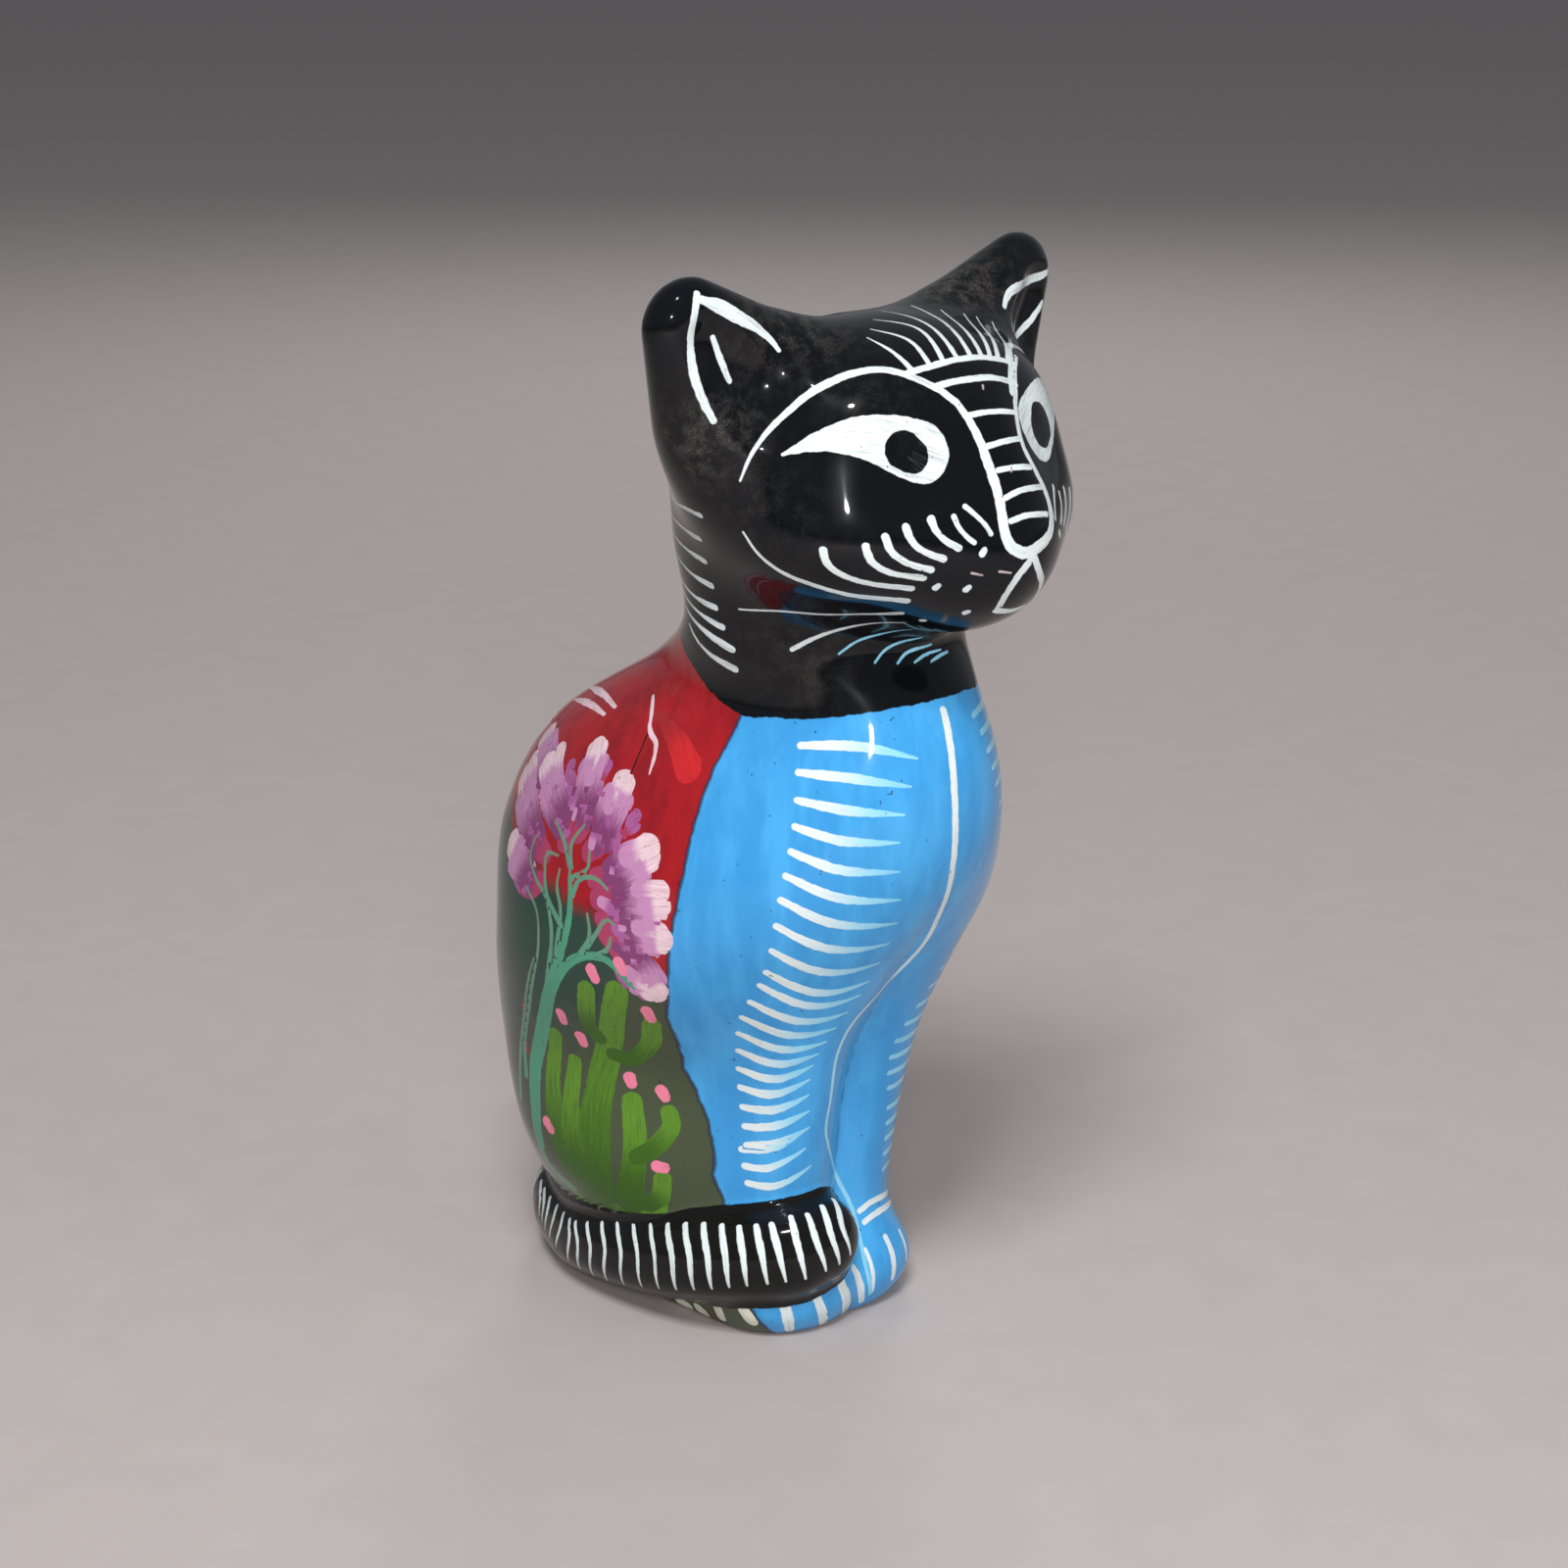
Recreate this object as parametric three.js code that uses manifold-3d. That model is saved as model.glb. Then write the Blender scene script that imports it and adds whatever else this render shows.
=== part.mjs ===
// A seated ceramic cat coin bank: one hollow cast figure, with a coin slot across its back
// and its tail curled round its right side to the front paw.
// Millimetres, +Z up. The cat faces -Y, and the origin is on the ground in its plane of symmetry.
import * as THREE from "three";
import { mergeVertices } from "three/addons/utils/BufferGeometryUtils.js";
import Module from "manifold-3d";

// Driving sizes.
const HEIGHT = 240; // ground to ear tips
const WALL = 5; // thickness of the cast clay
const FLOOR = 6; // thickness of the clay under the hollow
const SLOT_LENGTH = 40; // the coin slot, across the back
const SLOT_WIDTH = 5;
const SLOT_LEVEL = 127; // height of the slot's middle above the ground

// The figure's proportions below are drawn on a cat this tall, and are scaled to HEIGHT.
const DRAWN_HEIGHT = 237.1;
const SCALE = HEIGHT / DRAWN_HEIGHT;

// Drawn stations of the body and neck: height, half width, front and back of the section.
const BODY = [
  { z: -14, half: 21, front: -5.5, back: 42.4 },
  { z: 12, half: 27.8, front: -12.7, back: 63.5 },
  { z: 35, half: 41.2, front: -8.5, back: 65.5 },
  { z: 62, half: 44, front: -11, back: 71.5 },
  { z: 85, half: 49.5, front: -30, back: 71 },
  { z: 108, half: 46, front: -49, back: 73 },
  { z: 130, half: 37.5, front: -53, back: 59.5 },
  { z: 148, half: 28.5, front: -48, back: 30.5 },
  { z: 160, half: 32, front: -39, back: 16 },
  { z: 180, half: 33, front: -41, back: 17.8 },
  { z: 200, half: 31, front: -37, back: 10.5 },
];
const NECK_ROUNDING = 14; // softens the top end of the neck inside the skull

// The head: skull, forehead, face, muzzle and the bridge of the nose, as ellipsoids.
const SKULL = { centre: [0, -21, 197.5], radii: [42.6, 33.2, 27] };
const FOREHEAD = { centre: [0, -35.8, 205.2], radii: [31.3, 19.4, 16] };
const FACE = { centre: [0, -34.8, 184.5], radii: [40, 29.2, 19.5] };
const MUZZLE = { centre: [0, -49.3, 180.5], radii: [16.3, 18.7, 15.5] };
const NOSE_BRIDGE = { centre: [0, -47.8, 191.9], radii: [8.5, 14.8, 17.6] };

// Each ear is a flattened cone with a round tip. Its face has a shallow dish, a smaller cone cut
// away from a low point to a high point along the ear. These are the left ear's.
const EAR = {
  base: [34.1, -20, 211.2],
  tip: [48.9, -20.9, 227.5],
  baseRadius: 19.4,
  tipRadius: 9.9,
  flatness: 0.67, // thickness over width
  facing: [0.38, -0.87, 0.19],
};
const EAR_DISH = {
  low: { along: 0, radius: 14, depth: 2.8 },
  high: { along: 0.98, radius: 6.5, depth: 1.8 },
};

// A front leg, from the chest down, and its paw, on the left side.
const LEG = { top: [12.6, -17.6, 96], foot: [9.9, -4.4, 16], topRadius: 14.1, footRadius: 8.1 };
const PAW = { centre: [9, -10.1, 7.9], radii: [15.9, 12.6, 8.9] };

// Stations along the middle of the tail, from the lower back round the right side to its tip.
const TAIL = [
  { at: [16, 42, 30], radius: 6 },
  { at: [6, 54, 17], radius: 8.5 },
  { at: [-11.8, 56.9, 11.8], radius: 9.6 },
  { at: [-22.2, 42.9, 9.3], radius: 9.3 },
  { at: [-26.8, 27.5, 11.8], radius: 9.5 },
  { at: [-26.9, 10.1, 14.3], radius: 10 },
  { at: [-24.3, -3.2, 17.8], radius: 10.8 },
  { at: [-17.1, -14.9, 19.8], radius: 11.3 },
  { at: [-10.1, -18, 21.1], radius: 10.6 },
];
const TAIL_RINGS = 36;
const TAIL_SIDES = 14;
const TIP_RINGS = 4; // rings that round off each end

// How softly the forms run into each other.
const BLEND = {
  forehead: 15,
  face: 14,
  muzzle: 12,
  bridge: 9,
  neck: 12,
  ear: 11,
  dish: 3,
  leg: 22,
  paw: 8,
};

// Spacing of the mesh over the figure: fine at the base and head, coarse over the plain body.
const SPACING = { across: 5, deep: 5.4, base: 5.9, body: 9, head: 4.5, hollow: 10 };
const BASE_TOP = 34;
const HEAD_BOTTOM = 160;
const MARGIN = 12; // room around the figure that is searched for its surface

const clamp = (value, low, high) => Math.min(Math.max(value, low), high);
const vector = (at) => new THREE.Vector3(...at);

// Smooth union of two distances: within reach of each other they run together.
function blend(a, b, reach) {
  const h = Math.max(reach - Math.abs(a - b), 0) / reach;
  return Math.min(a, b) - (h * h * reach) / 4;
}

// Smooth intersection of two distances.
function carve(a, b, reach) {
  return -blend(-a, -b, reach);
}

// Distance to an ellipsoid.
function ellipsoid(x, y, z, { centre, radii }) {
  const [dx, dy, dz] = [x - centre[0], y - centre[1], z - centre[2]];
  const near = Math.hypot(dx / radii[0], dy / radii[1], dz / radii[2]);
  const slope = Math.hypot(dx / radii[0] ** 2, dy / radii[1] ** 2, dz / radii[2] ** 2);
  return (near * (near - 1)) / Math.max(slope, 1e-9);
}

// Distance to a rod with round ends from a to b, whose radius runs from ra to rb. Between the ends
// the nearest point of the axis lies a little off square, because the side slopes.
function rod(x, y, z, a, b, ra, rb) {
  const [ux, uy, uz] = [b[0] - a[0], b[1] - a[1], b[2] - a[2]];
  const [px, py, pz] = [x - a[0], y - a[1], z - a[2]];
  const length = Math.hypot(ux, uy, uz);
  const along = (px * ux + py * uy + pz * uz) / length;
  const off = Math.sqrt(Math.max(px * px + py * py + pz * pz - along * along, 0));
  const taper = (ra - rb) / length;
  const t = clamp(along - (off * taper) / Math.sqrt(1 - taper * taper), 0, length);
  return Math.hypot(off, along - t) - (ra - taper * t);
}

// A smooth curve through one value of the body's stations, at height z.
function stationValue(key, z) {
  const last = BODY.length - 1;
  const height = clamp(z, BODY[0].z, BODY[last].z);
  let i = 0;
  while (i < last - 1 && BODY[i + 1].z <= height) i++;
  const gap = (n) => BODY[n + 1].z - BODY[n].z;
  const rise = (n) => (BODY[n + 1][key] - BODY[n][key]) / gap(n);
  const slope = (n) => {
    if (n === 0) return rise(0);
    if (n === last) return rise(last - 1);
    return (rise(n) * gap(n - 1) + rise(n - 1) * gap(n)) / (gap(n) + gap(n - 1));
  };
  const t = (height - BODY[i].z) / gap(i);
  const [t2, t3] = [t * t, t * t * t];
  return (
    (2 * t3 - 3 * t2 + 1) * BODY[i][key] +
    (t3 - 2 * t2 + t) * gap(i) * slope(i) +
    (3 * t2 - 2 * t3) * BODY[i + 1][key] +
    (t3 - t2) * gap(i) * slope(i + 1)
  );
}

// Distance to the body and neck, an oval section that changes with height.
function body(x, y, z) {
  const half = stationValue("half", z);
  const front = stationValue("front", z);
  const back = stationValue("back", z);
  const [middle, depth] = [(front + back) / 2, (back - front) / 2];
  const near = Math.hypot(x / half, (y - middle) / depth);
  const slope = Math.hypot(x / half ** 2, (y - middle) / depth ** 2);
  const side = (near * (near - 1)) / Math.max(slope, 1e-9);
  const ends = Math.max(z - BODY[BODY.length - 1].z, BODY[0].z - z);
  return carve(side, ends, NECK_ROUNDING);
}

// Distance to the head without its ears.
function head(x, y, z) {
  let d = ellipsoid(x, y, z, SKULL);
  d = blend(d, ellipsoid(x, y, z, FOREHEAD), BLEND.forehead);
  d = blend(d, ellipsoid(x, y, z, FACE), BLEND.face);
  d = blend(d, ellipsoid(x, y, z, MUZZLE), BLEND.muzzle);
  return blend(d, ellipsoid(x, y, z, NOSE_BRIDGE), BLEND.bridge);
}

// The ear's own directions: along it to the tip, out of its face, and across it.
const earLength = vector(EAR.tip).distanceTo(vector(EAR.base));
const earAlong = vector(EAR.tip).sub(vector(EAR.base)).normalize();
const earOut = vector(EAR.facing).projectOnPlane(earAlong).normalize();
const earAcross = new THREE.Vector3().crossVectors(earAlong, earOut);

// An end of the dish's cone, in the ear's own directions: its surface reaches in to the dish's depth.
function dishEnd({ along, radius, depth }) {
  const face = THREE.MathUtils.lerp(EAR.baseRadius, EAR.tipRadius, along) * EAR.flatness;
  return [0, face + radius - depth, along * earLength];
}
const dishLow = dishEnd(EAR_DISH.low);
const dishHigh = dishEnd(EAR_DISH.high);

// Distance to the two ears.
function ears(x, y, z) {
  const from = new THREE.Vector3(Math.abs(x), y, z).sub(vector(EAR.base));
  const [across, out, along] = [from.dot(earAcross), from.dot(earOut), from.dot(earAlong)];
  const tip = [0, 0, earLength];
  const round = rod(across, out / EAR.flatness, along, [0, 0, 0], tip, EAR.baseRadius, EAR.tipRadius);
  const dish = rod(across, out, along, dishLow, dishHigh, EAR_DISH.low.radius, EAR_DISH.high.radius);
  return carve(round * EAR.flatness, -dish, BLEND.dish);
}

// Distance to the front legs and paws.
function feet(x, y, z) {
  const side = Math.abs(x);
  const leg = rod(side, y, z, LEG.top, LEG.foot, LEG.topRadius, LEG.footRadius);
  return blend(leg, ellipsoid(side, y, z, PAW), BLEND.paw);
}

// Distance to the outside of the cat without its tail.
function outside(x, y, z) {
  let d = blend(body(x, y, z), head(x, y, z), BLEND.neck);
  d = blend(d, ears(x, y, z), BLEND.ear);
  return blend(d, feet(x, y, z), BLEND.leg);
}

// Distance to the hollow, which follows the body, neck and head at the wall's thickness.
function hollow(x, y, z) {
  const d = blend(body(x, y, z), head(x, y, z), BLEND.neck) + WALL / SCALE;
  return carve(d, FLOOR / SCALE - z, WALL / SCALE);
}

// Grid lines from low to high in spans, each with a spacing of its own.
function gridLines(spans) {
  const lines = [spans[0].from];
  for (const { from, to, step } of spans) {
    const count = Math.ceil((to - from) / step);
    for (let i = 1; i <= count; i++) lines.push(from + ((to - from) * i) / count);
  }
  return lines;
}

// Moves a point onto the surface where the distance is zero.
function settle(field, point) {
  const step = 0.05;
  for (let i = 0; i < 4; i++) {
    const [x, y, z] = point;
    const d = field(x, y, z);
    const slope = [
      (field(x + step, y, z) - field(x - step, y, z)) / (2 * step),
      (field(x, y + step, z) - field(x, y - step, z)) / (2 * step),
      (field(x, y, z + step) - field(x, y, z - step)) / (2 * step),
    ];
    const square = Math.max(slope[0] ** 2 + slope[1] ** 2 + slope[2] ** 2, 0.2);
    point = point.map((v, k) => v - (d * slope[k]) / square);
  }
  return point;
}

// A closed mesh of the surface where the distance is zero: one vertex for each grid cell that it
// passes through, and one quad for each grid edge that it crosses.
function surfaceGeometry(field, xs, ys, zs) {
  const [nx, ny, nz] = [xs.length, ys.length, zs.length];
  const index = (i, j, k) => (k * ny + j) * nx + i;
  const values = new Float64Array(nx * ny * nz);
  zs.forEach((z, k) => ys.forEach((y, j) => xs.forEach((x, i) => (values[index(i, j, k)] = field(x, y, z)))));
  const corners = [0, 1, 2, 3, 4, 5, 6, 7].map((c) => [c & 1, (c >> 1) & 1, c >> 2]);
  const edges = [];
  for (let a = 0; a < 8; a++)
    for (const bit of [1, 2, 4]) if (!(a & bit)) edges.push([a, a | bit]);

  const positions = [];
  const vertexOf = new Map();
  for (let k = 0; k < nz - 1; k++)
    for (let j = 0; j < ny - 1; j++)
      for (let i = 0; i < nx - 1; i++) {
        const here = corners.map(([a, b, c]) => values[index(i + a, j + b, k + c)]);
        const crossed = edges.filter(([a, b]) => here[a] < 0 !== here[b] < 0);
        if (!crossed.length) continue;
        const sum = [0, 0, 0];
        for (const [a, b] of crossed) {
          const t = here[a] / (here[a] - here[b]);
          const at = [xs, ys, zs].map((lines, axis) => {
            const n = [i, j, k][axis];
            return THREE.MathUtils.lerp(lines[n + corners[a][axis]], lines[n + corners[b][axis]], t);
          });
          at.forEach((v, axis) => (sum[axis] += v / crossed.length));
        }
        vertexOf.set(index(i, j, k), positions.length / 3);
        positions.push(...settle(field, sum));
      }

  const triangles = [];
  const gap = (a, b) => Math.hypot(...[0, 1, 2].map((n) => positions[3 * a + n] - positions[3 * b + n]));
  const addQuad = (a, b, c, d, turned) => {
    const ring = turned ? [a, d, c, b] : [a, b, c, d];
    const [p, q, r, s] = gap(a, c) <= gap(b, d) ? ring : [ring[1], ring[2], ring[3], ring[0]];
    triangles.push(p, q, r, p, r, s);
  };
  for (let k = 1; k < nz - 1; k++)
    for (let j = 1; j < ny - 1; j++)
      for (let i = 1; i < nx - 1; i++) {
        const inside = values[index(i, j, k)] < 0;
        const cell = (a, b, c) => vertexOf.get(index(i - a, j - b, k - c));
        if (inside !== values[index(i + 1, j, k)] < 0)
          addQuad(cell(0, 1, 1), cell(0, 0, 1), cell(0, 0, 0), cell(0, 1, 0), !inside);
        if (inside !== values[index(i, j + 1, k)] < 0)
          addQuad(cell(1, 0, 1), cell(1, 0, 0), cell(0, 0, 0), cell(0, 0, 1), !inside);
        if (inside !== values[index(i, j, k + 1)] < 0)
          addQuad(cell(1, 1, 0), cell(0, 1, 0), cell(0, 0, 0), cell(1, 0, 0), !inside);
      }
  const geometry = new THREE.BufferGeometry();
  geometry.setAttribute("position", new THREE.Float32BufferAttribute(positions, 3));
  geometry.setIndex(triangles);
  return geometry;
}

const wasm = await Module();
wasm.setup();

// A closed geometry as a solid that can be joined and cut.
function solidOf(geometry) {
  const bare = geometry.clone();
  bare.deleteAttribute("normal");
  bare.deleteAttribute("uv");
  const merged = mergeVertices(bare, 1e-4);
  const mesh = new wasm.Mesh({
    numProp: 3,
    vertProperties: merged.attributes.position.array,
    triVerts: new Uint32Array(merged.index.array),
  });
  return new wasm.Manifold(mesh);
}

// A solid's surface as a geometry.
function geometryOf(solid) {
  const mesh = solid.getMesh();
  const geometry = new THREE.BufferGeometry();
  const positions = [];
  for (let i = 0; i < mesh.numVert; i++)
    positions.push(...mesh.vertProperties.subarray(i * mesh.numProp, i * mesh.numProp + 3));
  geometry.setAttribute("position", new THREE.Float32BufferAttribute(positions, 3));
  geometry.setIndex(new THREE.BufferAttribute(new Uint32Array(mesh.triVerts), 1));
  return geometry;
}

// How far the figure reaches from the origin, with room to spare.
const reach = {
  side: EAR.tip[0] + EAR.tipRadius + MARGIN,
  front: MUZZLE.centre[1] - MUZZLE.radii[1] - MARGIN,
  back: Math.max(...BODY.map((s) => s.back)) + MARGIN,
  top: EAR.tip[2] + EAR.tipRadius + MARGIN,
  hollowTop: SKULL.centre[2] + SKULL.radii[2] + MARGIN,
};

// The outside of the cat without its tail, at full size, before the ground is cut flat.
function outerSolid() {
  const across = gridLines([{ from: -reach.side, to: reach.side, step: SPACING.across }]);
  const deep = gridLines([{ from: reach.front, to: reach.back, step: SPACING.deep }]);
  const up = gridLines([
    { from: BODY[0].z - MARGIN, to: BASE_TOP, step: SPACING.base },
    { from: BASE_TOP, to: HEAD_BOTTOM, step: SPACING.body },
    { from: HEAD_BOTTOM, to: reach.top, step: SPACING.head },
  ]);
  return solidOf(surfaceGeometry(outside, across, deep, up).scale(SCALE, SCALE, SCALE));
}

// The hollow inside at full size.
function hollowSolid() {
  const across = gridLines([{ from: -reach.side, to: reach.side, step: SPACING.hollow }]);
  const deep = gridLines([{ from: reach.front, to: reach.back, step: SPACING.hollow }]);
  const up = gridLines([{ from: -MARGIN, to: reach.hollowTop, step: SPACING.hollow }]);
  return solidOf(surfaceGeometry(hollow, across, deep, up).scale(SCALE, SCALE, SCALE));
}

// The tail at full size: rings round a smooth curve through its stations, closed by round ends.
function tailSolid() {
  const curve = new THREE.CatmullRomCurve3(TAIL.map((s) => vector(s.at)), false, "catmullrom", 0.5);
  const radii = new THREE.CatmullRomCurve3(TAIL.map((s) => new THREE.Vector3(s.radius, 0, 0)));
  const frames = curve.computeFrenetFrames(TAIL_RINGS);
  const rings = frames.tangents.map((tangent, i) => ({
    centre: curve.getPointAt(i / TAIL_RINGS),
    radius: radii.getPoint(curve.getUtoTmapping(i / TAIL_RINGS)).x,
    frame: i,
  }));
  // An end's rings shrink to its pole like parallels on a ball.
  const roundEnd = (ring, direction) =>
    Array.from({ length: TIP_RINGS - 1 }, (_, n) => {
      const angle = ((n + 1) / TIP_RINGS) * (Math.PI / 2);
      const out = frames.tangents[ring.frame].clone().multiplyScalar(direction * ring.radius * Math.sin(angle));
      return { centre: ring.centre.clone().add(out), radius: ring.radius * Math.cos(angle), frame: ring.frame };
    });
  const pole = (ring, direction) =>
    frames.tangents[ring.frame].clone().multiplyScalar(direction * ring.radius).add(ring.centre);
  const [first, last] = [rings[0], rings[rings.length - 1]];
  const all = [...roundEnd(first, -1).reverse(), ...rings, ...roundEnd(last, 1)];

  const positions = [];
  for (const { centre, radius, frame } of all)
    for (let n = 0; n < TAIL_SIDES; n++) {
      const angle = (2 * Math.PI * n) / TAIL_SIDES;
      const spoke = frames.normals[frame].clone().multiplyScalar(radius * Math.cos(angle));
      spoke.addScaledVector(frames.binormals[frame], radius * Math.sin(angle));
      positions.push(...spoke.add(centre).toArray());
    }
  positions.push(...pole(first, -1).toArray(), ...pole(last, 1).toArray());

  const triangles = [];
  const at = (ring, n) => ring * TAIL_SIDES + (n % TAIL_SIDES);
  const start = all.length * TAIL_SIDES;
  for (let n = 0; n < TAIL_SIDES; n++) {
    for (let ring = 1; ring < all.length; ring++) {
      triangles.push(at(ring - 1, n), at(ring - 1, n + 1), at(ring, n + 1));
      triangles.push(at(ring - 1, n), at(ring, n + 1), at(ring, n));
    }
    triangles.push(start, at(0, n + 1), at(0, n));
    triangles.push(start + 1, at(all.length - 1, n), at(all.length - 1, n + 1));
  }
  const geometry = new THREE.BufferGeometry();
  geometry.setAttribute("position", new THREE.Float32BufferAttribute(positions, 3));
  geometry.setIndex(triangles);
  return solidOf(geometry.scale(SCALE, SCALE, SCALE));
}

// The coin slot's cutter: a slab with round ends, from the hollow out through the back.
function slotSolid() {
  const straight = (SLOT_LENGTH - SLOT_WIDTH) / 2;
  const outline = new THREE.Shape();
  outline.absarc(straight, 0, SLOT_WIDTH / 2, -Math.PI / 2, Math.PI / 2, false);
  outline.absarc(-straight, 0, SLOT_WIDTH / 2, Math.PI / 2, (3 * Math.PI) / 2, false);
  const back = reach.back * SCALE;
  const geometry = new THREE.ExtrudeGeometry(outline, { depth: back, bevelEnabled: false, curveSegments: 6 });
  geometry.rotateX(Math.PI / 2);
  geometry.translate(0, back, SLOT_LEVEL);
  return solidOf(geometry);
}

// Everything under the ground, which the figure stands on with a flat cut.
function groundSolid() {
  const size = 2 * HEIGHT;
  return solidOf(new THREE.BoxGeometry(size, size, size).translate(0, 0, -size / 2));
}

// The whole bank: the figure, cut flat under its feet, hollowed, and slotted through the back.
function bankGeometry() {
  const figure = outerSolid().add(tailSolid()).subtract(groundSolid());
  return geometryOf(figure.subtract(hollowSolid()).subtract(slotSolid()));
}

const glaze = new THREE.MeshStandardMaterial({ color: 0x4aa3df, roughness: 0.18, metalness: 0 });
const cat = new THREE.Mesh(bankGeometry(), glaze);
cat.name = "cat_bank";

const bank = new THREE.Group();
bank.add(cat);

export default bank;
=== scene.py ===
"""A hand-painted pottery cat coin bank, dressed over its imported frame.

The shell is rebuilt as a fine mesh of the same form as the part, and its paint is laid on as brush
strokes that follow the surface. Lengths in the classes are drawn millimetres unless they say otherwise.
"""
import logging
import math
from dataclasses import dataclass
from enum import Enum
from typing import Callable, Sequence

import bpy
import numpy as np
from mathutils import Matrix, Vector


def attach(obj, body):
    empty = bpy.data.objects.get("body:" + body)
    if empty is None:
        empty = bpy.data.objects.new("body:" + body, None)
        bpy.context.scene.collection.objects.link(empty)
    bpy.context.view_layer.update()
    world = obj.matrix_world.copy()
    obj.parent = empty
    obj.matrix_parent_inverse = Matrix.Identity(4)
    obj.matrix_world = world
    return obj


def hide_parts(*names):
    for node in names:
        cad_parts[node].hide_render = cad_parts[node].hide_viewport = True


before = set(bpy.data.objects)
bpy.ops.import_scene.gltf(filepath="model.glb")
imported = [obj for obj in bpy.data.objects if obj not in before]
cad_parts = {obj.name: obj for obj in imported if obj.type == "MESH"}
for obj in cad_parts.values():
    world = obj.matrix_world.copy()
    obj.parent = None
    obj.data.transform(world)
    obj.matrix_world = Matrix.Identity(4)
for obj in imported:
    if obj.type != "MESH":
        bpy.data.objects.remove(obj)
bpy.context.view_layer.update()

LOG = logging.getLogger("cat_bank")
MM = 0.001
LAYERS = 4
UNPAINTED = 60.0

Array = np.ndarray
Socket = bpy.types.NodeSocket
Point = tuple[float, float, float]
Colour = tuple[int, int, int]
Line = tuple[Point, ...]
Lines = tuple[Line, ...]
Widths = tuple[float, ...]
Edge = tuple[tuple[float, float], ...]


class Paint(Enum):
    """The brush colours, as display red, green and blue."""

    WHITE = (212, 221, 221)
    CREAM = (220, 220, 202)
    PALE_BLUE = (138, 202, 228)
    BLACK = (8, 9, 12)
    DARK_LINE = (36, 34, 52)
    TRUNK = (74, 142, 114)
    TWIG = (86, 138, 118)
    TWIG_END = (102, 134, 110)
    CACTUS = (54, 92, 23)
    CACTUS_LIGHT = (86, 130, 36)
    BUD = (224, 124, 150)
    VIOLET = (122, 60, 104)
    ORCHID = (156, 88, 142)
    LILAC = (184, 130, 170)
    BLOSSOM = (218, 190, 198)
    ROSE = (156, 58, 92)
    RED_LIGHT = (188, 38, 42)
    # Bare clay at chips, also used for painted highlights where scratches in the lacquer catch the light.
    CLAY_AND_GLINT = (172, 160, 160)
    BRICK = (146, 34, 38)

    def linear(self) -> tuple[float, float, float, float]:
        """Returns the colour as linear light with full alpha."""
        return linear(self.value)

    def code(self, chance: float = 0.5) -> float:
        """Packs the paint's place in the palette with a chance value for its brush.

        Args:
            chance: A number from 0 to 1 that varies from stroke to stroke.

        Returns:
            A number from 0 to 1 that falls in the paint's own step of the palette ramps.
        """
        return (list(Paint).index(self) + 0.1 + 0.8 * chance) / len(Paint)


def linear(rgb: Sequence[float]) -> tuple[float, float, float, float]:
    """Turns a display colour of 0 to 255 into linear light.

    Args:
        rgb: Red, green and blue.

    Returns:
        Linear red, green, blue and an alpha of 1.
    """
    parts = [v / 255 for v in rgb]
    return tuple(p / 12.92 if p <= 0.04045 else ((p + 0.055) / 1.055) ** 2.4 for p in parts) + (1.0,)


def join(a: Array, b: Array, reach: float) -> Array:
    """Smooth union of two distances.

    Args:
        a: First distance.
        b: Second distance.
        reach: How close they have to be to run together.

    Returns:
        The distance to both.
    """
    h = np.maximum(reach - np.abs(a - b), 0) / reach
    return np.minimum(a, b) - h * h * reach * 0.25


def carve(a: Array, b: Array, reach: float) -> Array:
    """Smooth intersection of two distances, with the arguments of join."""
    return -join(-a, -b, reach)


@dataclass(frozen=True)
class Oval:
    """An ellipsoid."""

    centre: Point
    radii: Point

    def distance(self, p: Array) -> Array:
        """Measures to the ellipsoid.

        Args:
            p: The points.

        Returns:
            A distance for each point.
        """
        q = p - np.array(self.centre)
        r = np.array(self.radii)
        near = np.linalg.norm(q / r, axis=-1)
        slope = np.linalg.norm(q / (r * r), axis=-1)
        return near * (near - 1) / np.maximum(slope, 1e-9)


@dataclass(frozen=True)
class Rod:
    """A straight rod with round ends, whose radius runs from one end's to the other's."""

    start: Point
    end: Point
    start_radius: float
    end_radius: float

    def distance(self, p: Array) -> Array:
        """Measures to the rod.

        Args:
            p: The points.

        Returns:
            A distance for each point.
        """
        a = np.array(self.start, float)
        axis = np.array(self.end, float) - a
        length = float(np.linalg.norm(axis))
        q = p - a
        along = q @ (axis / length)
        off = np.sqrt(np.maximum((q * q).sum(-1) - along * along, 0))
        taper = (self.start_radius - self.end_radius) / length
        t = np.clip(along - off * taper / math.sqrt(1 - taper * taper), 0, length)
        return np.hypot(off, along - t) - (self.start_radius - taper * t)


def curve_through(points: Array, per_span: int) -> Array:
    """A smooth curve through points, as a Catmull-Rom spline.

    Args:
        points: Rows of numbers that the curve passes through.
        per_span: Steps between two of them.

    Returns:
        The rows along the curve.
    """
    p = np.vstack([2 * points[0] - points[1], points, 2 * points[-1] - points[-2]])
    t = np.arange(per_span)[:, None] / per_span
    rows = []
    for a, b, c, d in zip(p[:-3], p[1:-2], p[2:-1], p[3:]):
        square, cube = 2 * a - 5 * b + 4 * c - d, 3 * b - a - 3 * c + d
        rows.append(0.5 * (2 * b + (c - a) * t + square * t**2 + cube * t**3))
    return np.vstack(rows + [points[-1:]])


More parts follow.
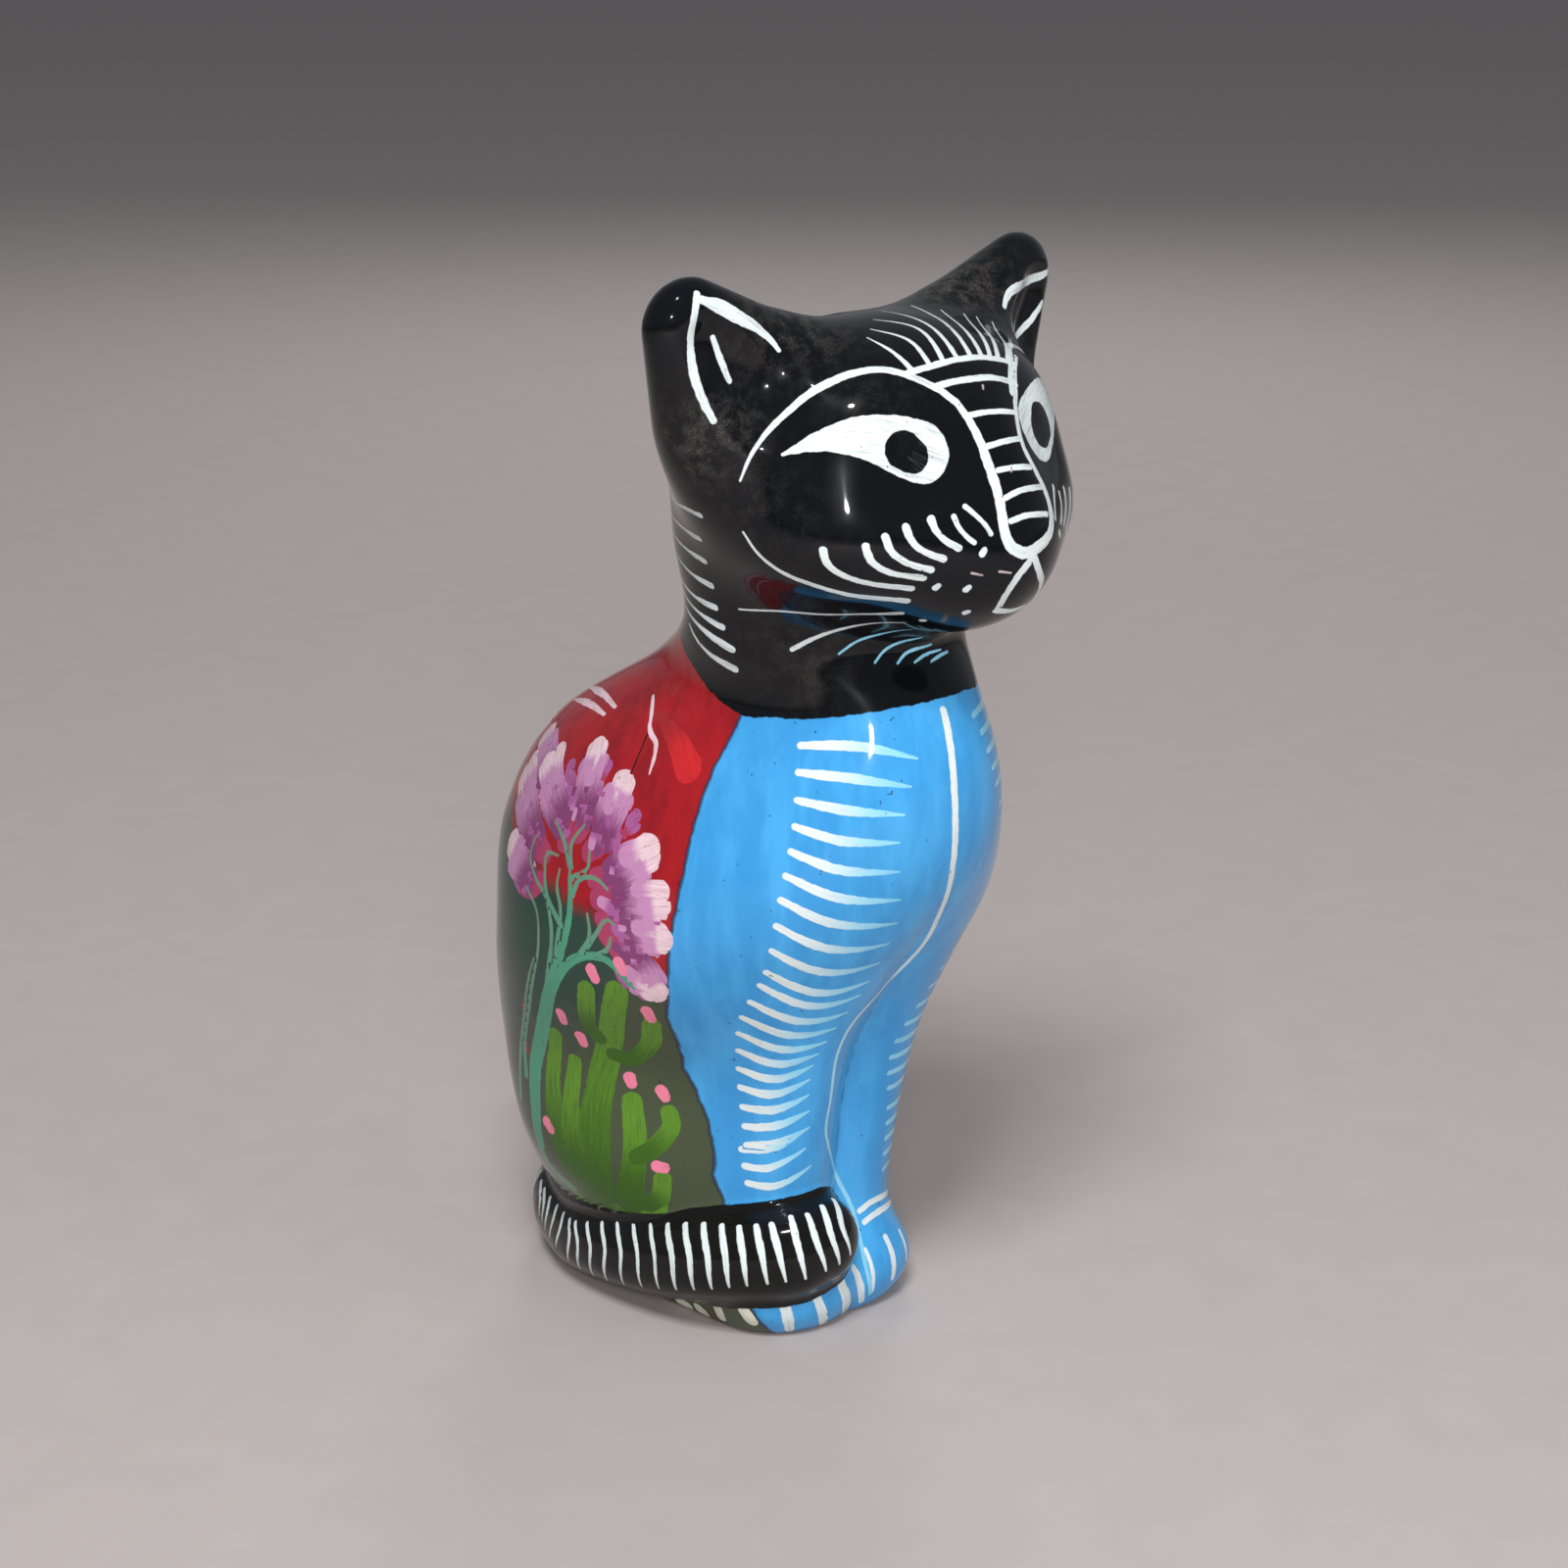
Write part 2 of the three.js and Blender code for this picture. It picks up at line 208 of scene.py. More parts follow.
@dataclass(frozen=True)
class CatForm:
    """The cat's form, drawn as the part is, as distances that are negative inside the clay."""

    height: float = 240.0
    drawn_height: float = 237.1
    wall: float = 5.0
    floor: float = 6.0
    slot_length: float = 40.0
    slot_width: float = 5.0
    slot_level: float = 127.0
    lip: float = 1.1
    body: tuple[tuple[float, float, float, float], ...] = (
        (-14, 21, -5.5, 42.4),
        (12, 27.8, -12.7, 63.5),
        (35, 41.2, -8.5, 65.5),
        (62, 44, -11, 71.5),
        (85, 49.5, -30, 71),
        (108, 46, -49, 73),
        (130, 37.5, -53, 59.5),
        (148, 28.5, -48, 30.5),
        (160, 32, -39, 16),
        (180, 33, -41, 17.8),
        (200, 31, -37, 10.5),
    )
    skull: Oval = Oval((0, -21, 197.5), (42.6, 33.2, 27))
    forehead: Oval = Oval((0, -35.8, 205.2), (31.3, 19.4, 16))
    face: Oval = Oval((0, -34.8, 184.5), (40, 29.2, 19.5))
    muzzle: Oval = Oval((0, -49.3, 180.5), (16.3, 18.7, 15.5))
    bridge: Oval = Oval((0, -47.8, 191.9), (8.5, 14.8, 17.6))
    head_join: float = 12.0
    ear_join: float = 11.0
    feet_join: float = 22.0
    tail_join: float = 2.8
    ground_edge: float = 0.9
    tail_zone: float = 46.0
    ear_base: Point = (34.1, -20, 211.2)
    ear_tip: Point = (48.9, -20.9, 227.5)
    ear_radii: tuple[float, float] = (19.4, 9.9)
    ear_flatness: float = 0.67
    ear_facing: Point = (0.38, -0.87, 0.19)
    dish_along: tuple[float, float] = (0.0, 0.98)
    dish_radii: tuple[float, float] = (14, 6.5)
    dish_depths: tuple[float, float] = (2.8, 1.8)
    leg: Rod = Rod((12.6, -17.6, 96), (9.9, -4.4, 16), 14.1, 8.1)
    paw: Oval = Oval((9, -10.1, 7.9), (15.9, 12.6, 8.9))
    tail: tuple[tuple[float, float, float, float], ...] = (
        (16, 42, 30, 6),
        (6, 54, 17, 8.5),
        (-11.8, 56.9, 11.8, 9.6),
        (-22.2, 42.9, 9.3, 9.3),
        (-26.8, 27.5, 11.8, 9.5),
        (-26.9, 10.1, 14.3, 10),
        (-24.3, -3.2, 17.8, 10.8),
        (-17.1, -14.9, 19.8, 11.3),
        (-10.1, -18, 21.1, 10.6),
    )

    @property
    def scale(self) -> float:
        """Full size over drawn size."""
        return self.height / self.drawn_height

    def station(self, column: int, z: Array) -> Array:
        """A smooth curve through one column of the body's stations.

        Args:
            column: Which column.
            z: Drawn heights.

        Returns:
            The column's value at each height.
        """
        table = np.array(self.body, float)
        zs, vs = table[:, 0], table[:, column]
        gap = np.diff(zs)
        rise = np.diff(vs) / gap
        slope = np.empty_like(vs)
        slope[1:-1] = (rise[1:] * gap[:-1] + rise[:-1] * gap[1:]) / (gap[1:] + gap[:-1])
        slope[0], slope[-1] = rise[0], rise[-1]
        z = np.clip(z, zs[0], zs[-1])
        i = np.clip(np.searchsorted(zs, z, side="right") - 1, 0, len(zs) - 2)
        h = gap[i]
        t = (z - zs[i]) / h
        start = (2 * t**3 - 3 * t**2 + 1) * vs[i] + (t**3 - 2 * t**2 + t) * h * slope[i]
        return start + (3 * t**2 - 2 * t**3) * vs[i + 1] + (t**3 - t**2) * h * slope[i + 1]

    def trunk(self, p: Array) -> Array:
        """Measures to the body and neck.

        Args:
            p: The points.

        Returns:
            A distance for each point.
        """
        z = p[..., 2]
        levels, back = np.unique(z, return_inverse=True)
        if len(levels) < 0.2 * z.size:
            half, front, rear = (self.station(n, levels)[back].reshape(z.shape) for n in (1, 2, 3))
        else:
            half, front, rear = (self.station(n, z) for n in (1, 2, 3))
        middle, depth = (front + rear) / 2, (rear - front) / 2
        near = np.hypot(p[..., 0] / half, (p[..., 1] - middle) / depth)
        slope = np.hypot(p[..., 0] / half**2, (p[..., 1] - middle) / depth**2)
        side = near * (near - 1) / np.maximum(slope, 1e-9)
        return carve(side, np.maximum(z - self.body[-1][0], self.body[0][0] - z), 14)

    def head(self, p: Array) -> Array:
        """Measures to the head without its ears.

        Args:
            p: The points.

        Returns:
            A distance for each point.
        """
        d = join(self.skull.distance(p), self.forehead.distance(p), 15)
        d = join(d, self.face.distance(p), 14)
        d = join(d, self.muzzle.distance(p), 12)
        return join(d, self.bridge.distance(p), 9)

    def ears(self, p: Array) -> Array:
        """Measures to the two ears, each with a shallow dish in its face.

        Args:
            p: The points.

        Returns:
            A distance for each point.
        """
        base, tip = np.array(self.ear_base), np.array(self.ear_tip)
        length = float(np.linalg.norm(tip - base))
        along = (tip - base) / length
        out = np.array(self.ear_facing)
        out = out - along * (out @ along)
        out /= np.linalg.norm(out)
        across = np.cross(along, out)
        q = np.stack([np.abs(p[..., 0]), p[..., 1], p[..., 2]], -1) - base
        own = np.stack([q @ across, q @ out / self.ear_flatness, q @ along], -1)
        round_ear = Rod((0, 0, 0), (0, 0, length), *self.ear_radii).distance(own) * self.ear_flatness
        own[..., 1] *= self.ear_flatness
        ends = []
        for at, radius, depth in zip(self.dish_along, self.dish_radii, self.dish_depths):
            face = (self.ear_radii[0] + (self.ear_radii[1] - self.ear_radii[0]) * at) * self.ear_flatness
            ends.append((0, face + radius - depth, at * length))
        return carve(round_ear, -Rod(*ends, *self.dish_radii).distance(own), 3)

    def feet(self, p: Array) -> Array:
        """Returns the distance to the front legs and paws."""
        q = np.stack([np.abs(p[..., 0]), p[..., 1], p[..., 2]], -1)
        return join(self.leg.distance(q), self.paw.distance(q), 8)

    def tail_path(self) -> Array:
        """Returns rows of x, y, z and radius along the tail."""
        return curve_through(np.array(self.tail, float), 4)

    def tail_distance(self, p: Array) -> Array:
        """Measures to the tail, only rough where it is far.

        Args:
            p: The points.

        Returns:
            A distance for each point.
        """
        out = p[..., 2] - 30.0
        near = p[..., 2] < self.tail_zone
        q = p[near]
        path = self.tail_path()
        best = np.full(len(q), 1e3)
        for a, b in zip(path[:-1], path[1:]):
            best = np.minimum(best, Rod(tuple(a[:3]), tuple(b[:3]), a[3], b[3]).distance(q))
        out[near] = best
        return out

    def figure(self, p: Array) -> Array:
        """Measures to the outside without the tail.

        Args:
            p: The points.

        Returns:
            A distance for each point.
        """
        d = join(self.trunk(p), self.head(p), self.head_join)
        d = join(d, self.ears(p), self.ear_join)
        return join(d, self.feet(p), self.feet_join)

    def outside(self, p: Array) -> Array:
        """Returns the distance to the whole outside, standing on the ground."""
        d = join(self.figure(p), self.tail_distance(p), self.tail_join)
        return carve(d, -p[..., 2], self.ground_edge)

    def hollow(self, p: Array) -> Array:
        """Returns the distance to the hollow inside."""
        d = join(self.trunk(p), self.head(p), self.head_join) + self.wall / self.scale
        return carve(d, self.floor / self.scale - p[..., 2], self.wall / self.scale)

    def slot(self, p: Array) -> Array:
        """Measures to the coin slot's cutter.

        Args:
            p: The points.

        Returns:
            A distance for each point.
        """
        straight = (self.slot_length - self.slot_width) / 2 / self.scale
        x = np.maximum(np.abs(p[..., 0]) - straight, 0)
        slab = np.hypot(x, p[..., 2] - self.slot_level / self.scale) - self.slot_width / 2 / self.scale
        return np.maximum(slab, 20 - p[..., 1])

    def shell(self, p: Array) -> Array:
        """Returns the distance to the whole hollow, slotted bank."""
        d = np.maximum(self.outside(p), -self.hollow(p))
        return carve(d, -self.slot(p), self.lip)


def gradient(distance: Callable[[Array], Array], p: Array, step: float = 0.04) -> Array:
    """The slope of a distance.

    Args:
        distance: The distance.
        p: Points.
        step: Half the span that it is measured over.

    Returns:
        One vector for each point.
    """
    rows = []
    for axis in range(3):
        shift = np.zeros(3)
        shift[axis] = step
        rows.append((distance(p + shift) - distance(p - shift)) / (2 * step))
    return np.stack(rows, -1)


def settle(distance: Callable[[Array], Array], p: Array, rounds: int = 3) -> Array:
    """Moves points onto the surface where a distance is zero.

    Args:
        distance: The distance.
        p: Points.
        rounds: How many steps are taken.

    Returns:
        The moved points.
    """
    for _ in range(rounds):
        slope = gradient(distance, p)
        square = np.maximum((slope * slope).sum(-1), 0.2)
        p = p - (distance(p) / square)[:, None] * slope
    return p


class Shell:
    """The fine mesh of the shell: its points, quads and the direction each point faces."""

    low = (-61.0, -73.0, -3.0)
    high = (61.0, 77.0, 240.0)
    softness = 0.6

    def __init__(self, form: CatForm, spacing: float) -> None:
        """Builds the mesh.

        Args:
            form: The cat's form.
            spacing: Distance between neighbouring points.
        """
        self.form = form
        low, high = np.array(self.low), np.array(self.high)
        count = np.ceil((high - low) / spacing).astype(int) + 1
        axes = [low[n] + spacing * np.arange(count[n]) for n in range(3)]
        grid = np.stack(np.meshgrid(*axes, indexing="ij"), -1).reshape(-1, 3)
        values = np.concatenate([form.shell(part) for part in np.array_split(grid, 12)]).reshape(count)
        self.points, self.quads = self._net(values, low, spacing)
        self.points = settle(form.shell, self.points)
        slope = gradient(form.shell, self.points, self.softness)
        self.normals = slope / np.maximum(np.linalg.norm(slope, axis=1, keepdims=True), 1e-9)

    @staticmethod
    def _net(values: Array, low: Array, spacing: float) -> tuple[Array, Array]:
        """Puts one point in each cell that the surface passes and one quad round each crossed edge.

        Args:
            values: Distances on the grid.
            low: The grid's lowest corner.
            spacing: The grid's spacing.

        Returns:
            Points and quads.
        """
        inside = values < 0
        corners = [(a, b, c) for a in (0, 1) for b in (0, 1) for c in (0, 1)]
        size = np.array(values.shape) - 1
        ends = [(a + size[0], b + size[1], c + size[2]) for a, b, c in corners]
        here = np.stack([inside[a:d, b:e, c:f] for (a, b, c), (d, e, f) in zip(corners, ends)], -1)
        cells = np.argwhere(here.any(-1) & ~here.all(-1))
        level = np.stack([values[tuple((cells + corner).T)] for corner in corners], -1)
        total = np.zeros((len(cells), 3))
        number = np.zeros(len(cells))
        for m, first in enumerate(corners):
            for n, second in enumerate(corners):
                if n <= m or sum(abs(x - y) for x, y in zip(first, second)) != 1:
                    continue
                crossed = (level[:, m] < 0) != (level[:, n] < 0)
                t = np.where(crossed, level[:, m] / np.where(crossed, level[:, m] - level[:, n], 1), 0)
                at = np.array(first) + t[:, None] * (np.array(second) - np.array(first))
                total += at * crossed[:, None]
                number += crossed
        points = low + spacing * (cells + total / number[:, None])
        index = np.full(size, -1)
        index[tuple(cells.T)] = np.arange(len(cells))
        quads = []
        for axis in range(3):
            step = np.zeros(3, int)
            step[axis] = 1
            start, stop = 1 - step, np.array(values.shape) - 1
            part = tuple(slice(s, e) for s, e in zip(start, stop))
            after = tuple(slice(s, e) for s, e in zip(start + step, stop + step))
            edges = np.argwhere(inside[part] != inside[after]) + start
            outward = inside[tuple(edges.T)]
            u, v = np.roll(step, 1), np.roll(step, 2)
            ring = [edges - u - v, edges - v, edges, edges - u]
            quad = np.stack([index[tuple(r.T)] for r in ring], -1)
            quad[~outward] = quad[~outward][:, ::-1]
            quads.append(quad)
        return points, np.vstack(quads)


@dataclass(frozen=True)
class Stroke:
    """One stroke of the brush, through a few drawn points that are settled onto the surface."""

    points: Sequence[Point | Array]
    widths: Sequence[float]
    paint: Paint = Paint.WHITE
    tip: Paint | None = None
    layer: int = 0
    on_tail: bool = False

    def mirrored(self, shift: Point = (0, 0, 0), wider: float = 1.0) -> "Stroke":
        """The same stroke on the cat's other side.

        Args:
            shift: How far it moves there.
            wider: What its widths are multiplied by.

        Returns:
            The mirrored stroke.
        """
        points = [(-x + shift[0], y + shift[1], z + shift[2]) for x, y, z in self.points]
        widths = [width * wider for width in self.widths]
        return Stroke(points, widths, self.paint, self.tip, self.layer, self.on_tail)


def laid(lines: Sequence[Sequence[Point | Array]], widths: Sequence[float], **brush: object) -> list[Stroke]:
    """Lays alike strokes along lines.

    Args:
        lines: The points of each stroke.
        widths: The widths of all of them.
        brush: Their paint, tip, layer and on_tail, by name.

    Returns:
        The strokes.
    """
    return [Stroke(line, widths, **brush) for line in lines]



class StrokeMap:
    """Writes each face's nearest stroke into the mesh: place across and along it, width and paint."""

    spill = 6.0
    reach = 4.0
    step = 0.9

    def __init__(self, shell: Shell) -> None:
        """Prepares the face corners.

        Args:
            shell: The mesh that is painted.
        """
        self.form = shell.form
        self.corners = shell.points[shell.quads]
        self.centres = self.corners.mean(1)
        self.tail = self.form.tail_distance(self.centres) < self.form.figure(self.centres)
        count = len(shell.quads)
        self.best = np.full((LAYERS, count), -self.spill)
        self.path = np.full((LAYERS, count, 4, 3), UNPAINTED)
        self.brush = np.zeros((LAYERS, count, 4, 3))
        self.chance = np.random.default_rng(7)

    def add(self, stroke: Stroke) -> None:
        """Lays one stroke.

        Args:
            stroke: The stroke.
        """
        line = self._line(stroke)
        steps = np.linalg.norm(np.diff(line, axis=0), axis=1)
        ends = np.concatenate([[0], np.cumsum(steps)])
        total = ends[-1]
        half = np.array(stroke.widths, float) / 2
        shares = np.linspace(0, 1, len(half))
        reach = half.max() + self.reach
        close = ((self.centres > line.min(0) - reach) & (self.centres < line.max(0) + reach)).all(1)
        if stroke.on_tail:
            close &= self.tail
        near = np.flatnonzero(close)
        if not len(near):
            return
        across, along = self._measure(line, steps, ends, self.centres[near])
        past = np.maximum(np.maximum(-along, along - total), 0)
        margin = np.interp(along / total, shares, half) - np.hypot(across, past)
        better = margin > self.best[stroke.layer, near]
        chosen = near[better]
        if not len(chosen):
            return
        self.best[stroke.layer, chosen] = margin[better]
        across, along = self._measure(line, steps, ends, self.corners[chosen].reshape(-1, 3))
        chance = self.chance.random()
        width = np.interp(along / total, shares, half)
        paint = np.full_like(width, stroke.paint.code(chance))
        tip = np.full_like(width, (stroke.tip or stroke.paint).code(chance))
        path = np.stack([across, along, total - along], -1)
        self.path[stroke.layer, chosen] = path.reshape(-1, 4, 3)
        self.brush[stroke.layer, chosen] = np.stack([width, paint, tip], -1).reshape(-1, 4, 3)

    def _line(self, stroke: Stroke) -> Array:
        """Draws a stroke's line on the surface.

        Args:
            stroke: The stroke.

        Returns:
            Points along it, no two of them in one place.
        """
        points = np.array(stroke.points, float)
        length = np.linalg.norm(np.diff(points, axis=0), axis=1).sum()
        if len(points) > 2:
            line = curve_through(points, max(3, int(length / self.step / (len(points) - 1))))
        else:
            line = points[0] + (points[1] - points[0]) * np.linspace(0, 1, max(3, int(length)))[:, None]
        line = settle(self.form.outside, line)
        apart = np.linalg.norm(np.diff(line, axis=0), axis=1) > 1e-3
        return line[np.concatenate([[True], apart])]

    def _measure(self, line: Array, steps: Array, ends: Array, p: Array) -> tuple[Array, Array]:
        """Finds where points lie beside a line on the surface.

        Args:
            line: The line's points.
            steps: The length of each of its pieces.
            ends: How far along it each piece begins and ends.
            p: The points.

        Returns:
            The signed distance across the line, and the distance along it, also past its ends.
        """
        axis = np.diff(line, axis=0) / steps[:, None]
        facing = gradient(self.form.outside, (line[:-1] + line[1:]) / 2, 0.2)
        side = np.cross(facing, axis)
        side /= np.maximum(np.linalg.norm(side, axis=1, keepdims=True), 1e-9)
        best = np.full(len(p), 1e9)
        across = np.zeros(len(p))
        along = np.zeros(len(p))
        last = len(axis) - 1
        for n in range(len(axis)):
            q = p - line[n]
            t = q @ axis[n]
            held = np.clip(t, -1e9 if n == 0 else 0, 1e9 if n == last else steps[n])
            gap = np.linalg.norm(q - held[:, None] * axis[n], axis=1)
            past = np.maximum(np.maximum(-t, t - steps[n]), 0)
            away = np.hypot(gap, np.where((held < 0) | (held > steps[n]), past, 0))
            closer = away < best
            best[closer] = away[closer]
            across[closer] = (gap * np.where(q @ side[n] < 0, -1, 1))[closer]
            along[closer] = (ends[n] + held)[closer]
        return across, along


def crossing(rails: Sequence[Line], places: Sequence[float], per_span: int = 12) -> list[list[Array]]:
    """Strokes that cross from rail to rail.

    Args:
        rails: Lists of as many points each, along which the strokes' points run.
        places: Where along the rails they cross, counted in the rails' points.
        per_span: Steps between two points of a rail.

    Returns:
        The points of each stroke.
    """
    lines = [curve_through(np.array(rail, float), per_span) for rail in rails]
    return [[line[round(place * per_span)] for line in lines] for place in places]


@dataclass(frozen=True)
class FacePaint:
    """The white drawing on the black head."""

    brow: Line = (
        (-44.3, -30.8, 197.8),
        (-43.1, -32.8, 203.2),
        (-39.2, -34.3, 208.1),
        (-34.7, -37.1, 212.7),
        (-30.1, -39.8, 216.0),
        (-24.9, -41.9, 217.8),
        (-20.3, -44.6, 218.6),
        (-16.9, -47.6, 217.9),
        (-13.7, -50.8, 216.2),
        (-10.7, -53.3, 214.2),
        (-8.4, -55.6, 211.6),
    )
    nose_band: Line = (
        (-8.4, -55.6, 211.6),
        (-7.3, -57.8, 208.5),
        (-6.5, -60.1, 204.4),
        (-6.5, -62.4, 200.2),
        (-6.5, -64.5, 195.9),
        (-6.8, -66.2, 191.6),
        (-7.1, -67.3, 187.8),
        (-6.4, -68.2, 184.6),
        (-3.0, -69.1, 182.6),
        (0.3, -69.3, 183.0),
        (4.5, -68.7, 184.3),
        (7.3, -67.6, 186.3),
        (8.3, -66.2, 190.0),
        (7.7, -64.9, 193.9),
        (6.0, -63.7, 197.9),
        (4.6, -62.2, 201.9),
        (5.4, -60.0, 205.5),
        (7.4, -57.5, 208.9),
        (10.3, -54.8, 212.1),
        (13.8, -51.6, 215.3),
        (18.8, -47.7, 217.0),
    )
    bars: Lines = (
        (
            (-16, -48.5, 217.5), (-9.4, -49.6, 218.5), (-3.1, -50, 219), (4.6, -50.2, 218.7),
            (11.6, -50.3, 217.3), (15.1, -50.5, 216.1),
        ),
        (
            (-11.8, -52.5, 214.9), (-6.7, -53.2, 215.5), (-1.3, -53.7, 215.5), (3.4, -53.9, 215.2),
            (7.3, -54, 214.3), (11.4, -54, 212.9),
        ),
        ((-6.6, -57.5, 209.3), (-3.4, -58.2, 209.5), (6.1, -58.2, 208.3)),
        ((-5.2, -61.2, 203.4), (-0.6, -61.9, 203.9), (4.7, -61.3, 203.6)),
        ((-5, -63.6, 198.8), (-1.9, -64.3, 199), (4.5, -64.1, 198.2)),
        ((-5.5, -65.9, 193.6), (-1.1, -66.3, 194.6), (6.6, -65.3, 194.1)),
        ((-5.3, -67.5, 189.2), (-0.9, -68, 189.8), (5.9, -67.4, 188.9)),
    )
    hairs: Lines = (
        ((-14, -48.4, 218.3), (-14.2, -43.4, 221.3), (-14.8, -37.3, 223.4)),
        ((-9.5, -49.2, 218.8), (-8.4, -42.5, 222.8), (-11.5, -35.2, 224.5)),
        ((-5.7, -49.3, 219.3), (-2.8, -40, 224.2), (-6.8, -31.7, 225.6)),
        ((-1.7, -49.2, 219.7), (1.2, -38.7, 224.6), (0.7, -27.1, 226)),
        ((2.2, -49.7, 219.3), (6.4, -39.4, 224.1), (11.1, -25.8, 225.9)),
        ((5.4, -50, 218.8), (9.2, -42.2, 222.8), (14.2, -31.2, 225.3)),
        ((8, -50.1, 218.4), (13.1, -42.9, 221.8), (18.7, -33.6, 224.2)),
        ((10.4, -50, 217.9), (16.7, -42.4, 221), (21.6, -34.6, 223.4)),
        ((13.7, -49.8, 217.1), (21.1, -42.2, 219.5), (25.7, -35.4, 222)),
    )
    eye: Line = (
        (-39.2, -37.4, 203.2),
        (-36, -41.2, 205.2),
        (-32.8, -44.8, 206.4),
        (-29, -48.3, 206.7),
        (-25.3, -51.2, 205.9),
        (-22, -53.8, 204.6),
        (-19.3, -55.7, 203.4),
    )
    eye_widths: Widths = (0.5, 2.7, 5.0, 7.6, 9.8, 11.8, 12.6)
    pupil: Line = ((-22.3, -54.2, 203.9), (-21.2, -55.2, 202.9))
    far_eye_shift: Point = (-6, 0, 0)
    far_eye_wider: float = 1.12
    far_ear_shift: Point = (3.5, 7, 0)
    muzzle_strokes: Lines = (
        (
            (-37.4, -46.8, 185.2), (-36.6, -47.1, 182.5), (-34.1, -49, 180), (-28.7, -52.7, 177.9),
            (-22.5, -56.7, 176.7),
        ),
        ((-32, -53.1, 186), (-30.8, -53.7, 182.9), (-27.1, -55.6, 180.3), (-21.6, -58.9, 179)),
        ((-28.9, -55.4, 187.8), (-27.9, -56.2, 184.8), (-24.8, -57.8, 182.3), (-20.7, -60.2, 180.7)),
        ((-25.2, -57.5, 189.5), (-24.5, -58.3, 186.9), (-22.3, -59.8, 184.5), (-18.9, -61.8, 182.9)),
        ((-20.5, -59.8, 190.7), (-20, -60.7, 188.5), (-18.5, -62, 186.5), (-16.3, -63.5, 184.9)),
        ((-16.3, -62.2, 191), (-16, -63, 189.2), (-14.9, -64.2, 187.2), (-13.5, -65.2, 185.8)),
        ((-13.6, -62.7, 192.7), (-12, -64.3, 190.8), (-10.8, -65.4, 189.1), (-10, -66.3, 187.2)),
    )
    whiskers: tuple[tuple[Line, Widths], ...] = (
        (
            (
                (-42.7, -30, 187.1), (-41.6, -32.6, 183.4), (-39.6, -37.4, 179.8),
                (-35.7, -43.4, 177.2), (-29.8, -48.5, 175.1), (-21.6, -54.6, 173.6),
            ),
            (0.6, 1.1, 1.4, 1.7),
        ),
        (
            ((-33.2, -19.3, 168.1), (-30.7, -29.7, 169), (-25.4, -40, 169.1), (-19.6, -51.4, 170.3)),
            (0.4, 0.7, 1.1, 1.4),
        ),
        (
            ((-26.3, -27.7, 159.9), (-23.6, -32.1, 162.8), (-20.2, -37.9, 165.2), (-15.8, -49, 167.2)),
            (1.1, 0.9, 0.6),
        ),
    )
    chin_hairs: Lines = (
        ((-19.5, -34.4, 158.9), (-16.5, -37.2, 161.7), (-13.1, -41.3, 163.3), (-11.1, -46.4, 164.5)),
        ((-13.3, -38.7, 156.7), (-11, -39.4, 159.1), (-8, -41.2, 160.6), (-4.1, -43.1, 161.1)),
        ((-8.8, -40.9, 156.1), (-5.9, -41.2, 158.1), (0.2, -42, 158.7)),
        ((-4.9, -42.1, 155.8), (-1.4, -42.1, 156.9), (3.4, -41.9, 156.9)),
        ((-0.6, -42.8, 155.3), (2.4, -42.4, 155.9), (5.6, -41.8, 156.1)),
    )
    dots: Line = (
        (-18.7, -60, 176.9), (-13.5, -63.5, 176.3), (-11.8, -66, 183.8), (-10.8, -61, 170.5),
        (-15, -53.2, 168.3),
    )
    mouth: Lines = (
        ((-0.2, -69.3, 181.6), (-3.7, -68.6, 178.2), (-5.3, -66.6, 174.2), (-5, -63.9, 170.4)),
        ((-5, -63.9, 170.4), (-0.6, -64, 169.6), (3.8, -63.7, 169.8)),
        ((-0.2, -69.3, 181.6), (2.4, -68.7, 177.9), (5.6, -66.7, 174.4), (7.4, -62.7, 170.2)),
    )
    ear_outer: Line = (
        (-50.8, -25.8, 234.7),
        (-52.3, -26.6, 230.7),
        (-52.6, -26.0, 222.2),
        (-51.9, -26.5, 217.7),
        (-50.3, -27, 213.4),
        (-48.7, -27.9, 209.9),
    )
    ear_inner: Line = (
        (-50.2, -26.6, 233.5), (-45.7, -27.5, 231.7), (-41.5, -28.6, 229.3), (-38, -29.6, 227),
        (-35.7, -30.9, 224.6), (-34.8, -32.2, 222.6),
    )
    ear_dash: Line = ((-47.1, -26.2, 225.9), (-45.7, -26.6, 222.1), (-44, -27.6, 217.2))
    far_ear_inner: Line = (
        (56.4, -24.9, 228.9), (48.1, -26.1, 227.5), (38.3, -29.8, 226.5), (33.9, -31.6, 223.9),
    )
    far_ear_dash: Line = ((53.6, -25.9, 222.2), (47.5, -27, 218.6), (38.5, -31.6, 215.6))
    # Two chips of bare clay under the nose, then two light marks on the nose band that are painted highlights
    # of scratches in the lacquer.
    scuffs_and_scratch_glints: Lines = (
        ((-13.6, -64.7, 179.6), (-11.6, -65.7, 179)),
        ((-8.4, -67.4, 179.5), (-5.8, -68.2, 178.9)),
        ((0.1, -55, 214.1), (-0.4, -55.5, 213.5)),
        ((-1.7, -64.3, 199), (-2.1, -64.6, 198.3)),
    )
